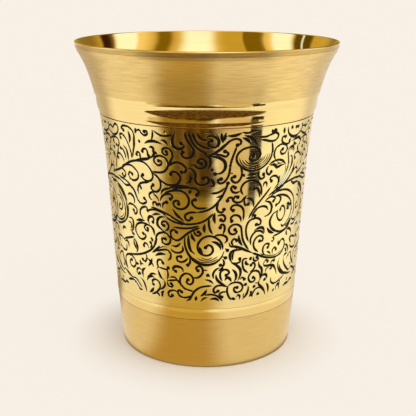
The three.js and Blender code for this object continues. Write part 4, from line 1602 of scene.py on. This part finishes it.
def floor_material():
    """Matt pale card with a faint tooth.

    Near the foot the camera sees it lit, with the tumbler's shadow. Further out it sees it glow evenly
    in its own tint, and reflections see an even white.
    """
    tint = bpy.context.scene.tumbler_colours.floor
    tooth, extent = 1.5, 0.8
    lit_to, even_from, even_share = 30 * MM, 54 * MM, 0.9
    material, tree = new_material("matt_card_pale")
    span = {
        "Vector": grain(tree, tooth, tooth),
        7: (-extent,) * 3,
        8: (extent,) * 3,
        9: times(tint, 0.988),
        10: tuple(tint),
    }
    shade = add_node(tree, "ShaderNodeMapRange", span, data_type="FLOAT_VECTOR").outputs["Vector"]
    matt = add_node(tree, "ShaderNodeBsdfDiffuse", {"Color": shade})
    glow = add_node(tree, "ShaderNodeEmission", {"Color": rgba(linear("#fffefc")), "Strength": 1.2})
    path = add_node(tree, "ShaderNodeLightPath")
    place = add_node(tree, "ShaderNodeTexCoord").outputs["Object"]
    away = add_node(tree, "ShaderNodeVectorMath", {0: place}, operation="LENGTH").outputs["Value"]
    share = add_node(
        tree,
        "ShaderNodeMapRange",
        {"Value": away, "From Min": lit_to, "From Max": even_from, "To Min": 0.0, "To Max": even_share},
        interpolation_type="SMOOTHSTEP",
    ).outputs[0]
    even = add_node(tree, "ShaderNodeEmission", {"Color": shade, "Strength": 1.02})
    seen = add_node(
        tree, "ShaderNodeMath", {0: path.outputs["Is Camera Ray"], 1: share}, operation="MULTIPLY"
    ).outputs[0]
    paler = add_node(tree, "ShaderNodeMixShader", {0: seen, 1: matt.outputs[0], 2: even.outputs[0]})
    mixed = add_node(
        tree,
        "ShaderNodeMixShader",
        {0: path.outputs["Is Glossy Ray"], 1: paler.outputs[0], 2: glow.outputs[0]},
    )
    add_node(tree, "ShaderNodeOutputMaterial", {"Surface": mixed.outputs[0]})
    material.cycles.emission_sampling = "NONE"
    return material


def lay_floor():
    """A square floor, a hair below the foot so that the two don't share a plane."""
    half = bpy.context.scene.tumbler_studio.floor_side / 2
    drop = 0.05 * MM
    square = np.array([(0, 0), (1, 0), (1, 1), (0, 1)], float)
    corners = np.column_stack(((2 * square - 1) * half, np.full(4, -drop)))
    floor = make_mesh("floor", corners, np.array([[0, 1, 2, 3]]), square[None])
    floor.data.materials.append(floor_material())


def room_light():
    """An even pale room. Reflections see it warmer, and the camera sees the floor's tone."""
    world = bpy.data.worlds.new("studio_room")
    world.use_nodes = True
    tree = world.node_tree
    tree.nodes.clear()
    path = add_node(tree, "ShaderNodeLightPath")
    even, warm, seen = (
        add_node(tree, "ShaderNodeBackground", {"Color": rgba(tint), "Strength": strength}).outputs[0]
        for tint, strength in (
            (linear("#fdfdff"), 0.84),
            (linear("#d8c468"), 1.0),
            (bpy.context.scene.tumbler_colours.floor, 1.0),
        )
    )
    mixed = add_node(tree, "ShaderNodeMixShader", {0: path.outputs["Is Glossy Ray"], 1: even, 2: warm})
    shown = add_node(
        tree, "ShaderNodeMixShader", {0: path.outputs["Is Camera Ray"], 1: mixed.outputs[0], 2: seen}
    )
    add_node(tree, "ShaderNodeOutputWorld", {"Surface": shown.outputs[0]})
    world.cycles.sampling_method = "NONE"
    bpy.context.scene.world = world


def place_camera():
    """The camera in front of the tumbler, looking down at it from the studio's sizes."""
    scene = bpy.context.scene
    studio = scene.tumbler_studio
    camera = bpy.data.objects.new("camera", bpy.data.cameras.new("camera"))
    scene.collection.objects.link(camera)
    camera.data.lens = studio.lens
    camera.data.sensor_width = 36
    camera.data.clip_start = 10 * MM
    place = Vector((studio.camera_across, -studio.camera_back, studio.camera_height))
    tilt = Matrix.Rotation(math.pi / 2 - studio.camera_tilt, 4, "X")
    roll = Matrix.Rotation(studio.camera_roll, 4, "Z")
    camera.matrix_world = Matrix.Translation(place) @ tilt @ roll
    scene.camera = camera


class TUMBLER_OT_cup(bpy.types.Operator):
    """Turns the drawn inner cup with its hemmed lip"""

    bl_idname = "tumbler.cup"
    bl_label = "Inner cup"

    def execute(self, context):
        section, hem = cup_section(WallLine(context.scene.tumbler_sizes))
        turned_piece("cup_drawn", "inner_cup", section, [mirror_brass(), lip_brass_painted_shade()], hem)
        return {"FINISHED"}


class TUMBLER_OT_satin(bpy.types.Operator):
    """Turns the satin collar and the satin foot"""

    bl_idname = "tumbler.satin"
    bl_label = "Collar and foot"

    def execute(self, context):
        wall = WallLine(context.scene.tumbler_sizes)
        section, burnished = collar_section(wall)
        turned_piece("collar_satin", "mouth_collar", section, [satin_brass(), ring_brass()], burnished)
        turned_piece("foot_satin", "foot_shell", foot_section(wall), [foot_brass()])
        return {"FINISHED"}


class TUMBLER_OT_rings(bpy.types.Operator):
    """Turns the two polished rings"""

    bl_idname = "tumbler.rings"
    bl_label = "Polished rings"

    def execute(self, context):
        wall = WallLine(context.scene.tumbler_sizes)
        finish = ring_brass()
        turned_piece("ring_upper", "upper_ring", upper_ring_section(wall), [finish])
        turned_piece("ring_lower", "lower_ring", lower_ring_section(wall), [finish])
        return {"FINISHED"}


class TUMBLER_OT_sleeve(bpy.types.Operator):
    """Engraves the sleeve and fills its lines with lacquer"""

    bl_idname = "tumbler.sleeve"
    bl_label = "Engraved sleeve"

    def execute(self, context):
        wall = WallLine(context.scene.tumbler_sizes)
        corners, faces, uv, normals, lacquered = sleeve_mesh(wall, context.scene.tumbler_engraving)
        made = make_mesh("sleeve_engraved", corners, faces, uv, normals=normals)
        made.data.materials.append(sleeve_brass())
        made.data.materials.append(black_lacquer())
        made.data.polygons.foreach_set("material_index", lacquered.astype(np.int32))
        seat(made, "engraved_sleeve")
        return {"FINISHED"}


class TUMBLER_OT_base(bpy.types.Operator):
    """Presses the base disc and runs the fillet of solder round it"""

    bl_idname = "tumbler.base"
    bl_label = "Base and solder"

    def execute(self, context):
        wall = WallLine(context.scene.tumbler_sizes)
        turned_piece("base_pressed", "base_disc", base_section(wall), [base_brass()])
        turned_piece("base_fillet", "base_solder", solder_section(wall), [soft_solder()])
        return {"FINISHED"}


class TUMBLER_OT_stage(bpy.types.Operator):
    """Lays the floor, lights it and places the camera"""

    bl_idname = "tumbler.stage"
    bl_label = "Studio"

    def execute(self, context):
        lay_floor()
        room_light()
        for layer, row in enumerate(CARDS):
            card(layer, *row)
        key_lamp()
        place_camera()
        context.scene.view_settings.view_transform = "Standard"
        # Deep in the cup a ray meets polished brass many times before it comes out.
        context.scene.cycles.glossy_bounces = 10
        return {"FINISHED"}


class TUMBLER_PT_panel(bpy.types.Panel):
    """The steps that build the tumbler"""

    bl_idname = "TUMBLER_PT_panel"
    bl_label = "Tumbler"
    bl_space_type = "VIEW_3D"
    bl_region_type = "UI"
    bl_category = "Tumbler"

    def draw(self, context):
        column = self.layout.column()
        for step in STEPS:
            column.operator(step.bl_idname)


STEPS = (
    TUMBLER_OT_cup,
    TUMBLER_OT_satin,
    TUMBLER_OT_rings,
    TUMBLER_OT_sleeve,
    TUMBLER_OT_base,
    TUMBLER_OT_stage,
)
GROUPS = {
    "tumbler_sizes": TumblerSizes,
    "tumbler_engraving": EngravingSizes,
    "tumbler_colours": TumblerColours,
    "tumbler_studio": StudioSizes,
}


def register():
    """Registers the sizes, the steps and the panel."""
    for name, group in GROUPS.items():
        bpy.utils.register_class(group)
        setattr(bpy.types.Scene, name, PointerProperty(type=group))
    for part in STEPS + (TUMBLER_PT_panel,):
        bpy.utils.register_class(part)


def unregister():
    """Takes them away again, the last first."""
    for part in (TUMBLER_PT_panel,) + STEPS[::-1]:
        bpy.utils.unregister_class(part)
    for name, group in reversed(GROUPS.items()):
        delattr(bpy.types.Scene, name)
        bpy.utils.unregister_class(group)


def main():
    """Builds the tumbler and its studio."""
    register()
    bpy.ops.tumbler.cup()
    bpy.ops.tumbler.satin()
    bpy.ops.tumbler.rings()
    bpy.ops.tumbler.sleeve()
    bpy.ops.tumbler.base()
    bpy.ops.tumbler.stage()


if __name__ == "__main__":
    main()
